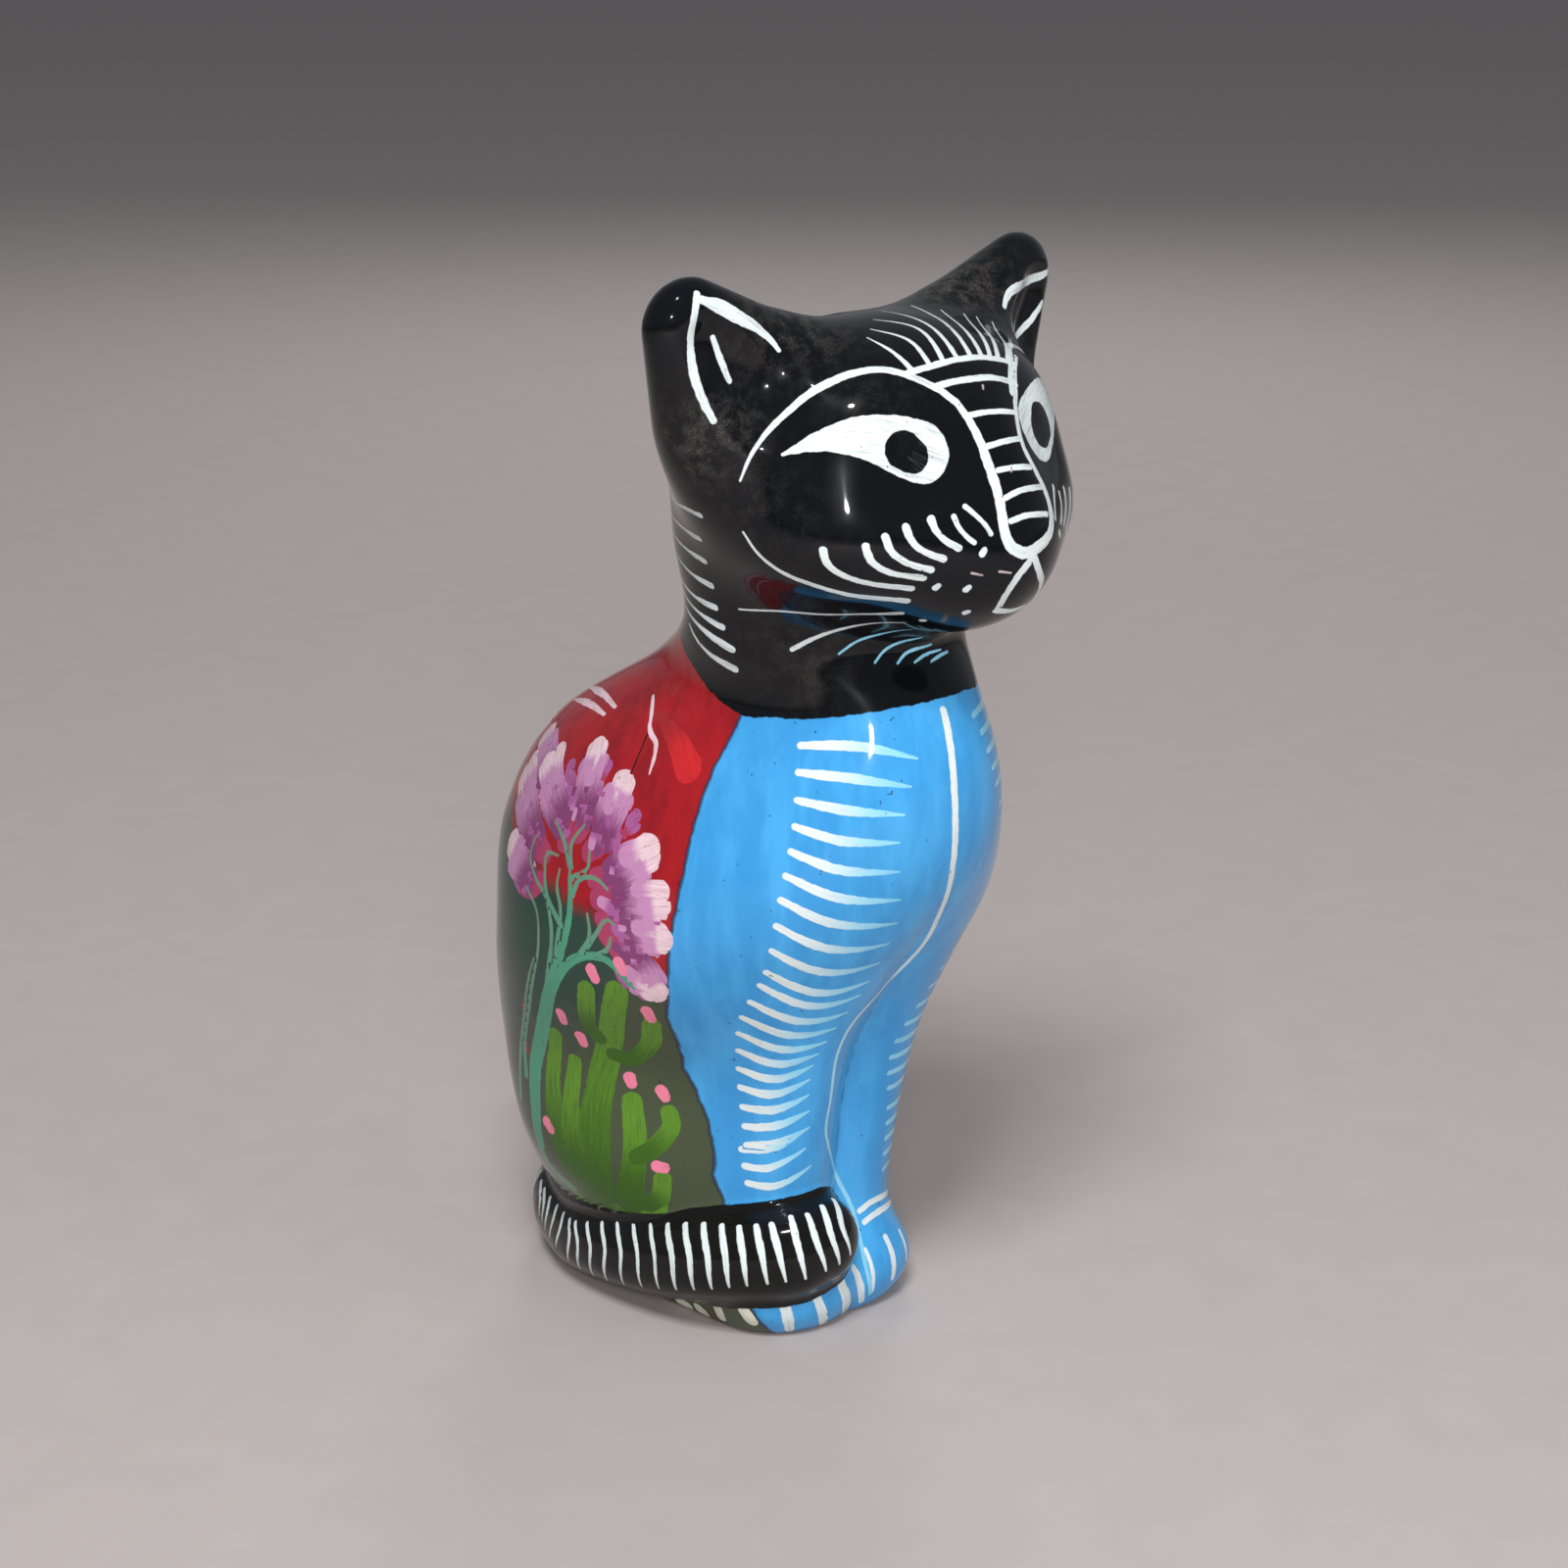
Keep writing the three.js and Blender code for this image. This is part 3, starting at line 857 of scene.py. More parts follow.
    nape: Lines = (
        ((-32.6, 1.3, 189.1), (-43.1, -12.9, 190), (-44.4, -19.6, 189.3)),
        ((-30, 3.5, 184.3), (-36.1, -6.1, 183.5), (-39.5, -14.5, 183)),
        ((-29.1, 4, 180.3), (-34.2, -5.1, 178.7), (-36.4, -12.8, 177.6)),
        ((-28.9, 3.3, 175.8), (-32.8, -4.6, 173.6), (-34.6, -12.9, 172.2)),
        ((-26.8, 4.5, 171.1), (-31.9, -4.5, 168.6), (-33.4, -12.7, 167.4)),
        ((-27.5, 2.8, 168), (-32.1, -6.7, 165.1), (-32.5, -13.9, 163.3)),
        ((-28.8, 0.6, 164.7), (-32, -7.9, 161.5), (-31.3, -15.3, 158.7)),
        ((-29.8, -1.3, 161.4), (-30.7, -8.1, 156.4), (-29.7, -14.6, 154.1)),
    )

    def strokes(self) -> list[Stroke]:
        """Lays all the strokes of the head.

        Returns:
            The strokes.
        """
        dots = [((x - 0.3, y, z - 0.35), (x + 0.3, y, z + 0.35)) for x, y, z in self.dots]
        both = [
            Stroke(self.brow, (0.5, 1.2, 1.8, 1.7, 1.7), layer=1),
            *laid(self.muzzle_strokes[:5], (1.7, 1.3, 1.3, 1.5)),
            *laid(self.muzzle_strokes[5:], (1.2, 1.0, 1.0, 1.1)),
            *[Stroke(line, widths) for line, widths in self.whiskers],
            *laid(self.nape[:6], (0.4, 0.5, 0.6, 0.7, 1.3, 1.5)),
            *laid(self.nape[6:], (0.5, 0.7, 0.9, 1.4, 1.9, 1.9)),
            *laid(dots, (1.5, 1.3), layer=3),
        ]
        outer = Stroke(self.ear_outer, (1.3, 1.9, 1.9, 1.5))
        pupil = [Stroke(self.pupil, (8.0, 7.2), Paint.BLACK, layer=n) for n in (1, 2)]
        eye = [Stroke(self.eye, self.eye_widths), *pupil]
        single = [
            Stroke(self.nose_band, (1.6, 2.1, 2.2, 2.5, 2.2, 1.7, 1.5, 1.2), layer=1),
            Stroke(self.ear_inner, (1.6, 3.2, 3.4, 2.8, 1.8, 0.9), layer=1),
            Stroke(self.ear_dash, (1.0, 1.5, 1.4)),
            Stroke(self.far_ear_inner, (1.4, 2.2, 2.3, 1.2), layer=1),
            Stroke(self.far_ear_dash, (1.2, 1.6, 1.2)),
            *laid(self.bars[:2], (1.5,), layer=2),
            *laid(self.bars[2:], (1.2,), layer=2),
            *laid(self.hairs, (1.3, 0.9, 0.3)),
            *laid(self.chin_hairs, (0.5, 0.8, 0.6), paint=Paint.PALE_BLUE),
            *laid(self.mouth, (1.8, 1.7, 1.5), layer=2),
            # Chips of bare clay under the nose, and painted scratch highlights on the nose band.
            *laid(self.scuffs_and_scratch_glints, (0.6, 0.4), paint=Paint.CLAY_AND_GLINT, layer=3),
        ]
        far_eye = [stroke.mirrored(self.far_eye_shift, self.far_eye_wider) for stroke in eye]
        ears = [outer, outer.mirrored(self.far_ear_shift)]
        return both + [stroke.mirrored() for stroke in both] + eye + far_eye + ears + single


@dataclass(frozen=True)
class ChestPaint:
    """The white strokes down the blue chest, legs, toes and round the tail."""

    left_rail: Line = (
        (-26.2, -30, 140),
        (-30.5, -32.5, 124),
        (-33.5, -31.4, 108.6),
        (-32.8, -26.5, 91.4),
        (-31.5, -17.7, 77.8),
        (-26.9, -12.5, 63.3),
        (-24.4, -11.8, 49),
        (-23.1, -11.6, 36.1),
    )
    middle_rail: Line = (
        (-19.8, -40.5, 140.5),
        (-24.9, -40.7, 121.5),
        (-24.9, -39, 103.1),
        (-22.7, -31.5, 85.5),
        (-24.2, -23.4, 73.5),
        (-22.9, -18.7, 61.6),
        (-20.9, -17.3, 49.6),
        (-19.2, -16, 35.8),
    )
    right_rail: Line = (
        (-11.3, -48.8, 137.9),
        (-15.9, -48.2, 120.7),
        (-11.7, -44, 101.2),
        (-10.5, -35.2, 85.8),
        (-14.6, -28.7, 73.7),
        (-16.7, -24.5, 64.7),
        (-14.8, -21.9, 52.7),
        (-11.8, -19.9, 39.4),
    )
    leg_stripes: Lines = (
        ((-24.4, -10.8, 44.5), (-20.3, -16.6, 45.2), (-16.2, -20, 47.7)),
        ((-23.8, -11.1, 40.5), (-20.6, -15.4, 40.3), (-14.1, -20.1, 44.3)),
        ((-23.2, -11.4, 36.4), (-20.1, -15, 35.6), (-16.7, -17.6, 36.8), (-12, -19.7, 39.4)),
    )
    far_inner: Line = (
        (5.5, -49.3, 143.8),
        (12.3, -50, 127.6),
        (22, -44, 111.4),
        (24, -38, 95.1),
        (17, -31, 78.9),
        (9.3, -25, 62.7),
        (11.8, -21, 46.5),
        (13.8, -17.8, 30.3),
    )
    far_middle: Line = (
        (20, -40.5, 145),
        (24.5, -41.5, 129),
        (27.5, -39, 113),
        (27.5, -34, 97),
        (25, -25, 80.5),
        (22.9, -19, 64),
        (20.5, -17, 47.5),
        (19, -15, 31),
    )
    far_outer: Line = (
        (26.2, -30, 147),
        (30, -32, 131),
        (33.5, -31.5, 115),
        (33, -28, 99),
        (31.7, -19, 82.5),
        (27, -12.7, 65.5),
        (24.2, -11.8, 49),
        (23, -11.6, 32.5),
    )
    middle: Line = (
        (-3.1, -48.6, 146.4),
        (-3.9, -52, 135.7),
        (-3.8, -52.9, 125.4),
        (-2.4, -51.3, 114.1),
        (0.9, -45.6, 102.3),
        (3.1, -39.5, 93),
        (1.6, -35, 86.8),
        (-2.4, -31.6, 80.9),
        (-8.7, -29.4, 74.8),
        (-10.5, -26.3, 67.1),
        (-8.9, -22.8, 55.5),
        (-8.4, -20.9, 46.7),
        (-3.6, -18, 38),
        (0.2, -15.9, 32.2),
        (3.9, -18.1, 22.2),
        (2.6, -22.8, 12.2),
        (4.1, -23, 4.5),
    )
    ankles: Lines = (
        ((5.5, -18.2, 22.7), (9.8, -18.2, 23.7), (18.7, -14.8, 22.5)),
        ((6.2, -19.1, 20.1), (11, -18.6, 20.8), (21.5, -13.1, 18.9)),
    )
    toes: tuple[tuple[Line, float], ...] = (
        (((11.2, -21.1, 15.3), (11.3, -22.6, 10.8), (11, -23.5, 6.2)), 1.5),
        (((18, -19.2, 14.1), (18, -20.6, 11), (17.7, -21.6, 8)), 1.1),
        (((3.8, -21.6, 15), (4.3, -22.6, 10), (4.5, -23.2, 4.9)), 0.9),
        (((-0.9, -22.4, 12.2), (0.9, -22.6, 7.5), (2.4, -21.8, 2.8)), 1.5),
        (((-6.2, -23.8, 10.4), (-4, -22.6, 5.5), (-1.4, -19.7, 0.8)), 2.3),
        (((-13.5, -23.3, 9.2), (-11.2, -22.2, 5), (-8.7, -20.1, 0.8)), 1.9),
        (((-20.6, -20.2, 8.7), (-19, -19.6, 5), (-17.4, -18.6, 1.6)), 2.1),
        (((26, -14.5, 9), (25.8, -15.2, 6.6), (25.6, -15.8, 4.5)), 1.8),
    )
    foot_dabs: Lines = (
        ((-26, -12.9, 7), (-24.3, -13.8, 4.4)),
        ((-27, -5.2, 5.9), (-25.3, -5.1, 3)),
        ((-24.4, 2.8, 2.3), (-23.9, 1, 1.4)),
        ((-23.9, 9.2, 2), (-23.7, 6.5, 1.2)),
    )
    tail_top: Line = (
        (4, 57, 25),
        (-4, 60, 21.5),
        (-12, 62.5, 18.5),
        (-19, 60.5, 17),
        (-22.8, 57, 16.2),
        (-26.8, 49.5, 15.6),
        (-31.1, 40.1, 15.9),
        (-33.5, 33.5, 16.5),
        (-33.9, 24.2, 19.3),
        (-33.3, 14.6, 21.8),
        (-32.3, 4.6, 24.4),
        (-30.2, -4.6, 26.8),
        (-27.3, -12.7, 27.7),
        (-23, -18.4, 28.8),
        (-19.1, -20.5, 29.8),
        (-15.8, -22.4, 29.8),
        (-11.4, -22.6, 30.5),
        (-6.7, -21.7, 30.4),
    )
    tail_middle: Line = (
        (3.5, 63.5, 20),
        (-5, 65.5, 17),
        (-13.5, 66.5, 14),
        (-22, 62, 13),
        (-26.1, 53.8, 14),
        (-29.3, 47.8, 12.9),
        (-33.4, 39.1, 12.8),
        (-35.9, 30.2, 12.5),
        (-36.8, 20.2, 14.4),
        (-36.6, 9.8, 16.8),
        (-35.7, -0.3, 19.3),
        (-33.2, -8.8, 21.4),
        (-29.5, -16.1, 22.5),
        (-24.7, -22.3, 23.7),
        (-21.2, -24.8, 24.5),
        (-17.1, -26.5, 24.9),
        (-13.2, -27.1, 25.7),
        (-9.7, -27.1, 26.5),
    )
    tail_bottom: Line = (
        (3, 62.5, 14),
        (-6, 66, 12),
        (-15, 66, 9.5),
        (-23, 59, 9),
        (-27.9, 52.2, 10.6),
        (-30.2, 47.7, 9.1),
        (-32.9, 41.1, 7.8),
        (-33.6, 32.1, 5.4),
        (-34.1, 22.4, 5.8),
        (-35.3, 9.9, 8.8),
        (-34.6, -0.4, 11.2),
        (-32.4, -9.3, 13.6),
        (-29, -16.8, 15.6),
        (-23.8, -23.6, 17),
        (-20.1, -26, 17.2),
        (-15.3, -27.6, 18),
        (-11.6, -28.2, 18.6),
        (-8.3, -28.4, 19.9),
    )
    tail_places: Widths = (
        0, 0.8, 1.6, 2.4, 3.2, 4, 4.5, 5, 5.5, 6, 6.6, 7, 7.5, 8, 8.5, 9, 9.5, 10, 10.5, 11, 11.5, 12,
        12.5, 13, 14, 15, 16, 17,
    )
    wide_from: float = 10
    narrow: float = 0.72

    def strokes(self) -> list[Stroke]:
        """Lays all the strokes of the chest, legs, toes and tail.

        Returns:
            The strokes.
        """
        tip = Paint.PALE_BLUE
        near = crossing((self.left_rail, self.middle_rail, self.right_rail), np.linspace(0, 6.25, 20))
        far = crossing((self.far_outer, self.far_middle, self.far_inner), np.linspace(0, 7, 28))
        found = laid(near, (1.5, 2.1, 2.2, 1.6, 0.5), tip=tip)
        found += laid(far, (1.6, 1.9, 1.8, 1.6, 1.3), tip=tip)
        found += laid(self.leg_stripes, (1.6, 1.9, 1.5, 0.5), tip=tip)
        found.append(Stroke(self.middle, (1.8, 1.7, 1.6, 1.3, 1.0, 0.9, 1.0, 1.1), tip=tip, layer=1))
        found += laid(self.ankles, (1.4, 1.5, 1.0))
        found += [Stroke(line, (width * 1.15, width * 1.3, width)) for line, width in self.toes]
        dabs = laid(self.foot_dabs, (3.0, 2.8), paint=Paint.CREAM)
        found += dabs + [stroke.mirrored() for stroke in dabs]
        round_tail = crossing((self.tail_top, self.tail_middle, self.tail_bottom), self.tail_places)
        for place, line in zip(self.tail_places, round_tail):
            wide = 1.0 if place >= self.wide_from else self.narrow
            widths = [width * wide for width in (1.3, 1.7, 1.3, 0.5)]
            found.append(Stroke(line, widths, layer=3, on_tail=True))
        return found


@dataclass(frozen=True)
class FlankPaint:
    """The generic picture on each flank: a tree in blossom over a cactus with buds."""

    trunk: Line = (
        (-36.5, 30, 27.5), (-38.5, 35.5, 30.5), (-41, 36.4, 37), (-42.7, 36, 46), (-43.4, 35, 57),
        (-45.3, 30.2, 67.1), (-48.7, 23.6, 79), (-49.5, 19.2, 88.5), (-48.4, 17, 97.8),
        (-45.5, 19.5, 108.6),
    )
    arch: Line = (
        (-44.6, 30.8, 64.7), (-47.7, 25.5, 75.2), (-49.5, 18.3, 85.2), (-49.1, 12.3, 89.6),
        (-48, 5.8, 89.9), (-45.3, 0.5, 84.5),
    )
    twigs: Lines = (
        (
            (-41.8, 39, 53.2), (-43.2, 38.3, 62.3), (-47.4, 31.4, 75.7), (-49.1, 26.8, 86.5),
            (-47.9, 27.9, 95.1), (-45.6, 33.6, 99.4),
        ),
        (
            (-48.9, 24.1, 80), (-49.3, 21.9, 90.8), (-47.6, 25, 98.8), (-45.7, 30.6, 102.1),
            (-43.4, 34.8, 105.7), (-42, 34.4, 110.1),
        ),
        ((-49.5, 20.3, 88.2), (-48.4, 19.8, 97.2), (-47, 22.4, 102.3), (-45.9, 22.6, 106)),
        ((-47.6, 17.1, 101.6), (-46.5, 15.3, 105.8), (-46.3, 10.4, 106.7), (-46.5, 7, 105.2)),
        ((-49.2, 12.9, 90), (-48.6, 10.5, 94.4), (-48.1, 11.7, 99)),
        ((-49, 11.6, 91.2), (-48.3, 8.5, 95.8), (-47.7, 6.6, 98.9), (-47.4, 4.2, 98.4)),
        ((-48.5, 8, 90.8), (-48, 5.7, 92.4), (-47.8, 4.9, 95.1)),
        (
            (-49.1, 17.8, 93.8), (-47.3, 25.2, 99.7), (-45.5, 27.8, 104.7), (-44.3, 28.4, 108.2),
            (-44.9, 24.1, 108.6),
        ),
        ((-46, 18.9, 106.9), (-44.1, 22.8, 111.5), (-41.7, 28.1, 114.9)),
        ((-46, 18.9, 106.9), (-44.2, 20.5, 112.1), (-42.8, 17.7, 116.4)),
        ((-46.6, 18.1, 105.2), (-46, 13.8, 108), (-44.8, 14.2, 111.6)),
        ((-39.6, 42.9, 46.2), (-42.1, 40.8, 59.2), (-46.1, 34.7, 72.4), (-48.9, 28.2, 85.1)),
    )
    cactus: tuple[tuple[Line, Widths, int], ...] = (
        (
            (
                (-34.7, 23.4, 23.2), (-39.3, 19.6, 40), (-40.2, 17.4, 54.5), (-42.5, 11.2, 69.3),
                (-46.4, 4.8, 82.7),
            ),
            (11, 9, 7, 6, 5.6),
            0,
        ),
        (
            ((-37.8, 24.6, 30.5), (-40.7, 24.7, 42.1), (-41.9, 24.2, 52.1), (-43, 22.2, 61.3)),
            (7, 6.4, 4.6, 3.6),
            1,
        ),
        (
            ((-39, 26.9, 33.4), (-41.6, 28.8, 45.4), (-43, 29.1, 56.3), (-45.2, 25.9, 67.2)),
            (6, 6, 4.4, 3.6),
            0,
        ),
        (((-34.5, 14.4, 27.8), (-35.5, 10.9, 41.4), (-36.6, 10.7, 53.3)), (7, 5.6, 4.8), 1),
        (((-34.8, 30.2, 24.1), (-34.8, 20.7, 24.1), (-31.9, 7.8, 28.2)), (5, 6.6, 5), 0),
        (((-43.3, 13.7, 68.9), (-45.7, 14.9, 73.3), (-48.2, 12.3, 81.8)), (3.6, 4.4, 4.6), 2),
        (
            ((-40.7, 12, 65), (-38.3, 8.3, 64.3), (-38.1, 3.3, 69.2), (-40.1, 0.6, 74.5)),
            (3.8, 4.2, 4.6, 4.4),
            2,
        ),
        (
            ((-35.2, 10.5, 40.3), (-33, 6.5, 43.4), (-31.5, 3.7, 48), (-31.9, 4, 51.2)),
            (4, 4.4, 4.4, 3.8),
            2,
        ),
        (((-33, 10.2, 28), (-31.9, 7, 30.8), (-32, 5.9, 35.4)), (4.6, 4.6, 4.2), 2),
        (((-39.5, 34.6, 36.7), (-36.7, 34.7, 29.3), (-35.3, 29.6, 25)), (1.4, 2.4, 2.4), 2),
    )
    buds: Lines = (
        ((-48.6, 10.2, 87), (-48.3, 9.4, 85)),
        ((-47.2, 3, 90), (-46.8, 2.4, 88.2)),
        ((-42.1, 0, 78.6), (-40.9, 0, 76.3)),
        ((-47, 22.1, 73.4), (-46.5, 21.9, 71.8)),
        ((-44.4, 18.6, 68.4), (-43.8, 18.4, 66.8)),
        ((-37.7, 10.3, 59.3), (-37.2, 10.2, 57.7)),
        ((-33.4, 4.9, 56.5), (-32.7, 4.4, 54.9)),
        ((-32.8, 6.8, 38.4), (-32, 5.4, 38.1)),
        ((-41.5, 31.8, 44.3), (-41.3, 30.7, 42.9)),
    )
    lobes: Lines = (
        ((-42.5, 24.4, 114.8), (-33.2, 40.2, 123.5)),
        ((-41.7, 18.2, 119), (-34.8, 22.2, 130.8)),
        ((-43.8, 11.8, 114.9), (-38.9, 9.6, 126.6)),
        ((-45.9, 6.9, 107.6), (-43.3, -2.4, 113.9)),
        ((-46.8, 4.7, 102.4), (-44.4, -6.4, 104.3)),
        ((-47, 1.8, 97.1), (-44.5, -7, 97.1)),
        ((-46.6, 0.3, 92.4), (-43.2, -3.5, 84)),
        ((-42.9, 32.8, 109.1), (-30.3, 50.9, 118.4)),
        ((-45.5, 33, 100.5), (-39.5, 45.1, 105.6)),
        ((-36.1, 37, 120.9), (-25.1, 49, 126.9)),
    )
    petals: tuple[tuple[Point, float], ...] = (
        ((-32.5, 36.8, 126.8), 5.0),
        ((-35.3, 21, 130.5), 5.0),
        ((-39.2, 9.6, 126), 5.0),
        ((-43, -1.5, 115.2), 7.0),
        ((-44, -6.4, 107.3), 5.0),
        ((-44.4, -7.4, 97.1), 5.0),
        ((-43.4, -3.1, 84), 5.0),
        ((-29.1, 49.4, 121.8), 5.0),
        ((-32.5, 49.2, 116.4), 5.0),
    )
    heart: Point = (-46.3, 20, 104)
    fan: int = 7
    small_dabs: int = 90
    bird: Line = (
        (-27.2, 12.5, 142.8), (-30.1, 10, 139.9), (-32.1, 8.6, 137.7), (-33.4, 6.6, 136.4),
        (-34.2, 4.4, 135.5), (-36.1, 3.2, 132.7), (-37.7, 3, 129.7),
    )
    bird_line: Line = ((-32.8, 8.2, 136.9), (-36.1, 7.9, 132.3), (-38, 8.3, 128.6))
    spots: Lines = (
        ((-44.6, 35.6, 71.6), (-44.6, 35.7, 69.6)),
        ((-43.2, 37.8, 61.2), (-43.1, 37.9, 59.4)),
    )
    red_dab: Line = ((-30.2, 8.1, 140.3), (-33.4, -0.9, 136.9), (-35.6, -6.6, 132.6))
    back_marks: Lines = (
        ((-16, 50, 132.9), (-23.6, 36.6, 135.9), (-28.5, 26.6, 136.3)),
        ((-10.1, 51.2, 134.3), (-21.7, 34.3, 138.2), (-27.4, 24.2, 138.2)),
    )

    def blossom(self, fine: bool) -> list[Stroke]:
        """The dabs of the tree's crown.

        Args:
            fine: Whether small dabs fill it as well.

        Returns:
            The strokes.
        """
        chance = np.random.default_rng(11)
        heart = np.array(self.heart)
        lobes = [(np.array(root), np.array(tip)) for root, tip in self.lobes]
        violet, lilac = (Paint.VIOLET, Paint.LILAC), (Paint.LILAC, Paint.BLOSSOM)
        found: list[Stroke] = []
        for root, tip in lobes:
            reach = tip - root
            side = np.array([0, reach[2], -reach[1]])
            side = side / np.linalg.norm(side)
            for spread in (-1, 0, 1):
                aside = side * 2.6 * spread
                start = root + aside * 0.9 + chance.normal(0, 0.5, 3)
                end = root + reach * (0.8 - 0.07 * abs(spread)) + aside * 1.1
                middle = (start + end) / 2 + chance.normal(0, 0.6, 3)
                found.append(Stroke([start, middle, end], (3.2, 4.4, 4.8), *violet, layer=1))
            for spread, width in ((-1, 4.4), (1, 4.4), (0, 6.0)):
                aside = side * 1.7 * spread
                start = root + reach * 0.74 + aside
                found.append(Stroke([start, tip + aside * 0.8], (width * 0.8, width), *lilac, layer=2))
        for root, tip in lobes:
            line = [root + (heart - root) * 0.3, root, root + (tip - root) * 0.7]
            found.append(Stroke(line, (5.0, 9.0, 9.0), Paint.ROSE, Paint.ORCHID))
        if fine:
            for petal, width in self.petals:
                tip = np.array(petal)
                line = [tip + (heart - tip) * 0.22, tip]
                found.append(Stroke(line, (width * 0.7, width), *lilac, layer=2))
            found += self._filling(chance)
        return found

    def _filling(self, chance: np.random.Generator) -> list[Stroke]:
        """The small dabs that fill the crown.

        Args:
            chance: The random draws, already used for the large dabs.

        Returns:
            The strokes.
        """
        roots = np.array([root for root, _ in self.lobes])
        tips = np.array([tip for _, tip in self.lobes])
        paints = (Paint.ORCHID, Paint.VIOLET, Paint.ROSE, Paint.VIOLET, Paint.LILAC)
        found: list[Stroke] = []
        for n in range(self.small_dabs):
            lobe = chance.integers(len(roots))
            other = (lobe + 1) % self.fan
            between = 0.5 if n % 2 and lobe < self.fan - 1 else 0.0
            root = roots[lobe] + (roots[other] - roots[lobe]) * between
            tip = tips[lobe] + (tips[other] - tips[lobe]) * between
            start = root + (tip - root) * chance.uniform(-0.2, 0.68) + chance.normal(0, 1.3, 3)
            end = start + (tip - root) * 0.24 + chance.normal(0, 0.7, 3)
            paint = paints[chance.integers(len(paints))]
            found.append(Stroke([start, end], (2.4, 3.4), paint, Paint.ORCHID, layer=1))
        return found

    def plant(self, fine: bool) -> list[Stroke]:
        """The trunk, twigs, cactus and buds.

        Args:
            fine: Whether all the twigs are painted.

        Returns:
            The strokes.
        """
        twigs = self.twigs if fine else self.twigs[:4]
        found = [
            Stroke(self.trunk, (2.4, 3.6, 4.2, 4.4, 4.2, 3.8, 2.8, 1.8, 1.0), Paint.TRUNK, layer=2),
            Stroke(self.arch, (3.0, 3.4, 2.8, 2.2, 1.8, 1.2), Paint.TRUNK, layer=2),
        ]
        found += laid(twigs, (1.6, 1.3, 1.1, 0.9, 0.7), paint=Paint.TWIG, tip=Paint.TWIG_END, layer=2)
        for line, widths, layer in self.cactus:
            found.append(Stroke(line, widths, Paint.CACTUS, Paint.CACTUS_LIGHT, layer))
        return found + laid(self.buds, (2.9, 2.5), paint=Paint.BUD, layer=3)

    def strokes(self) -> list[Stroke]:
        """Lays the strokes of both flanks, the far one plainer.

        Returns:
            The strokes.
        """
        marks = laid(self.back_marks, (0.6, 2.0, 1.0), paint=Paint.BLOSSOM, layer=2)
        near = self.blossom(True) + self.plant(True)
        near += [
            Stroke(self.red_dab, (2.0, 4.6, 7.0), Paint.BRICK, Paint.RED_LIGHT),
            *laid(self.spots, (1.6, 1.3), paint=Paint.BRICK),
            Stroke(self.bird, (0.8, 1.2, 0.9, 1.3, 1.1, 1.0, 0.5), Paint.BLOSSOM, layer=3),
            Stroke(self.bird_line, (0.5, 0.4), Paint.BLACK, layer=2),
            *marks,
        ]
        far = self.blossom(False) + self.plant(False) + marks
        return near + [stroke.mirrored() for stroke in far]


@dataclass(frozen=True)
class Regions:
    """Where each broad field of colour begins, as edges drawn over the form."""

    collar: Edge = (
        (-48, 148.8),
        (-33, 145.6),
        (-16, 144.0),
        (-10.8, 145.4),
        (-4.6, 148.3),
        (0.6, 153.0),
        (4.4, 156.3),
        (12, 161.0),
        (20, 164.5),
    )
    front: Edge = (
        (3.4, -15.6),
        (9.6, -14.1),
        (22, -10.0),
        (33, -5.8),
        (37.2, -4.5),
        (39.7, -5.0),
        (45.4, -4.8),
        (51.9, -3.4),
        (57.9, -1.7),
        (62.8, -0.6),
        (70.7, -2.3),
        (78, -3.7),
        (83.2, -6),
        (91.5, -8),
        (102.9, -10.2),
        (112.8, -11.5),
        (123.5, -11.7),
        (134.2, -13.1),
        (143.8, -15.2),
    )
    dusty: tuple[tuple[Point, float, float], ...] = (
        ((-26, -22, 226), 13, 1.0),
        ((-26, -48, 211), 8, 0.22),
        ((-46, -24, 206), 9, 0.9),
        ((-42, -34, 192), 10, 0.2),
        ((-27, 8, 147), 11, 0.3),
        ((-28, -30, 160), 12, 0.3),
        ((-34, 20, 178), 16, 0.5),
    )

    def paint(self, form: CatForm, p: Array) -> dict[str, Array]:
        """Measures each point against the edges.

        Args:
            form: The cat's form.
            p: Points of the mesh.

        Returns:
            Vectors for each point: how far inside the head, the front and the tail it is, the tail's black
                reaching past it onto the body as a seam that is partly painted shadow in the crease; how far
                above the red's and the teal's edges it is, and whether it is bare clay; and how dusty it is.
        """
        x, y, z = p.T
        collar = np.array(self.collar)
        front = np.array(self.front)
        head = (z - np.interp(y, collar[:, 0], collar[:, 1])) * 0.85
        blue = np.interp(z, front[:, 0], front[:, 1]) - y
        # The tail's black runs 1.5 mm past the tail onto the body, and up to 4.1 mm towards the back: a dark
        # seam that is partly painted line and partly painted shadow in the crease above the tail.
        tail = 1.5 + 2.6 * np.clip((y - 5) / 20, 0, 1) - form.tail_distance(p)
        tail = np.where(form.figure(p) < -0.4, -1.0, tail)
        red = z - np.interp(y, (-8, 0, 12, 30, 50, 70), (80, 88, 99, 104, 110, 112))
        teal = z - np.interp(y, (0, 10, 30, 60), (90, 74, 66, 60))
        outer = form.outside(p)
        bare = np.where(outer < -1.6, 1.0, 0.0)
        bare = np.maximum(bare, np.clip((0.7 - z) / 0.5, 0, 1))
        dust = np.zeros(len(p))
        for (dx, dy, dz), reach, most in self.dusty:
            away = np.linalg.norm(np.stack([np.abs(x) + dx, y - dy, z - dz], -1), axis=1)
            dust = np.maximum(dust, most * np.exp(-((away / reach) ** 2)))
        fields = np.stack([head, blue, tail], -1)
        ground = np.stack([red, teal, bare], -1)
        return {"fields": fields, "ground": ground, "wear": np.stack([dust, dust, dust], -1)}


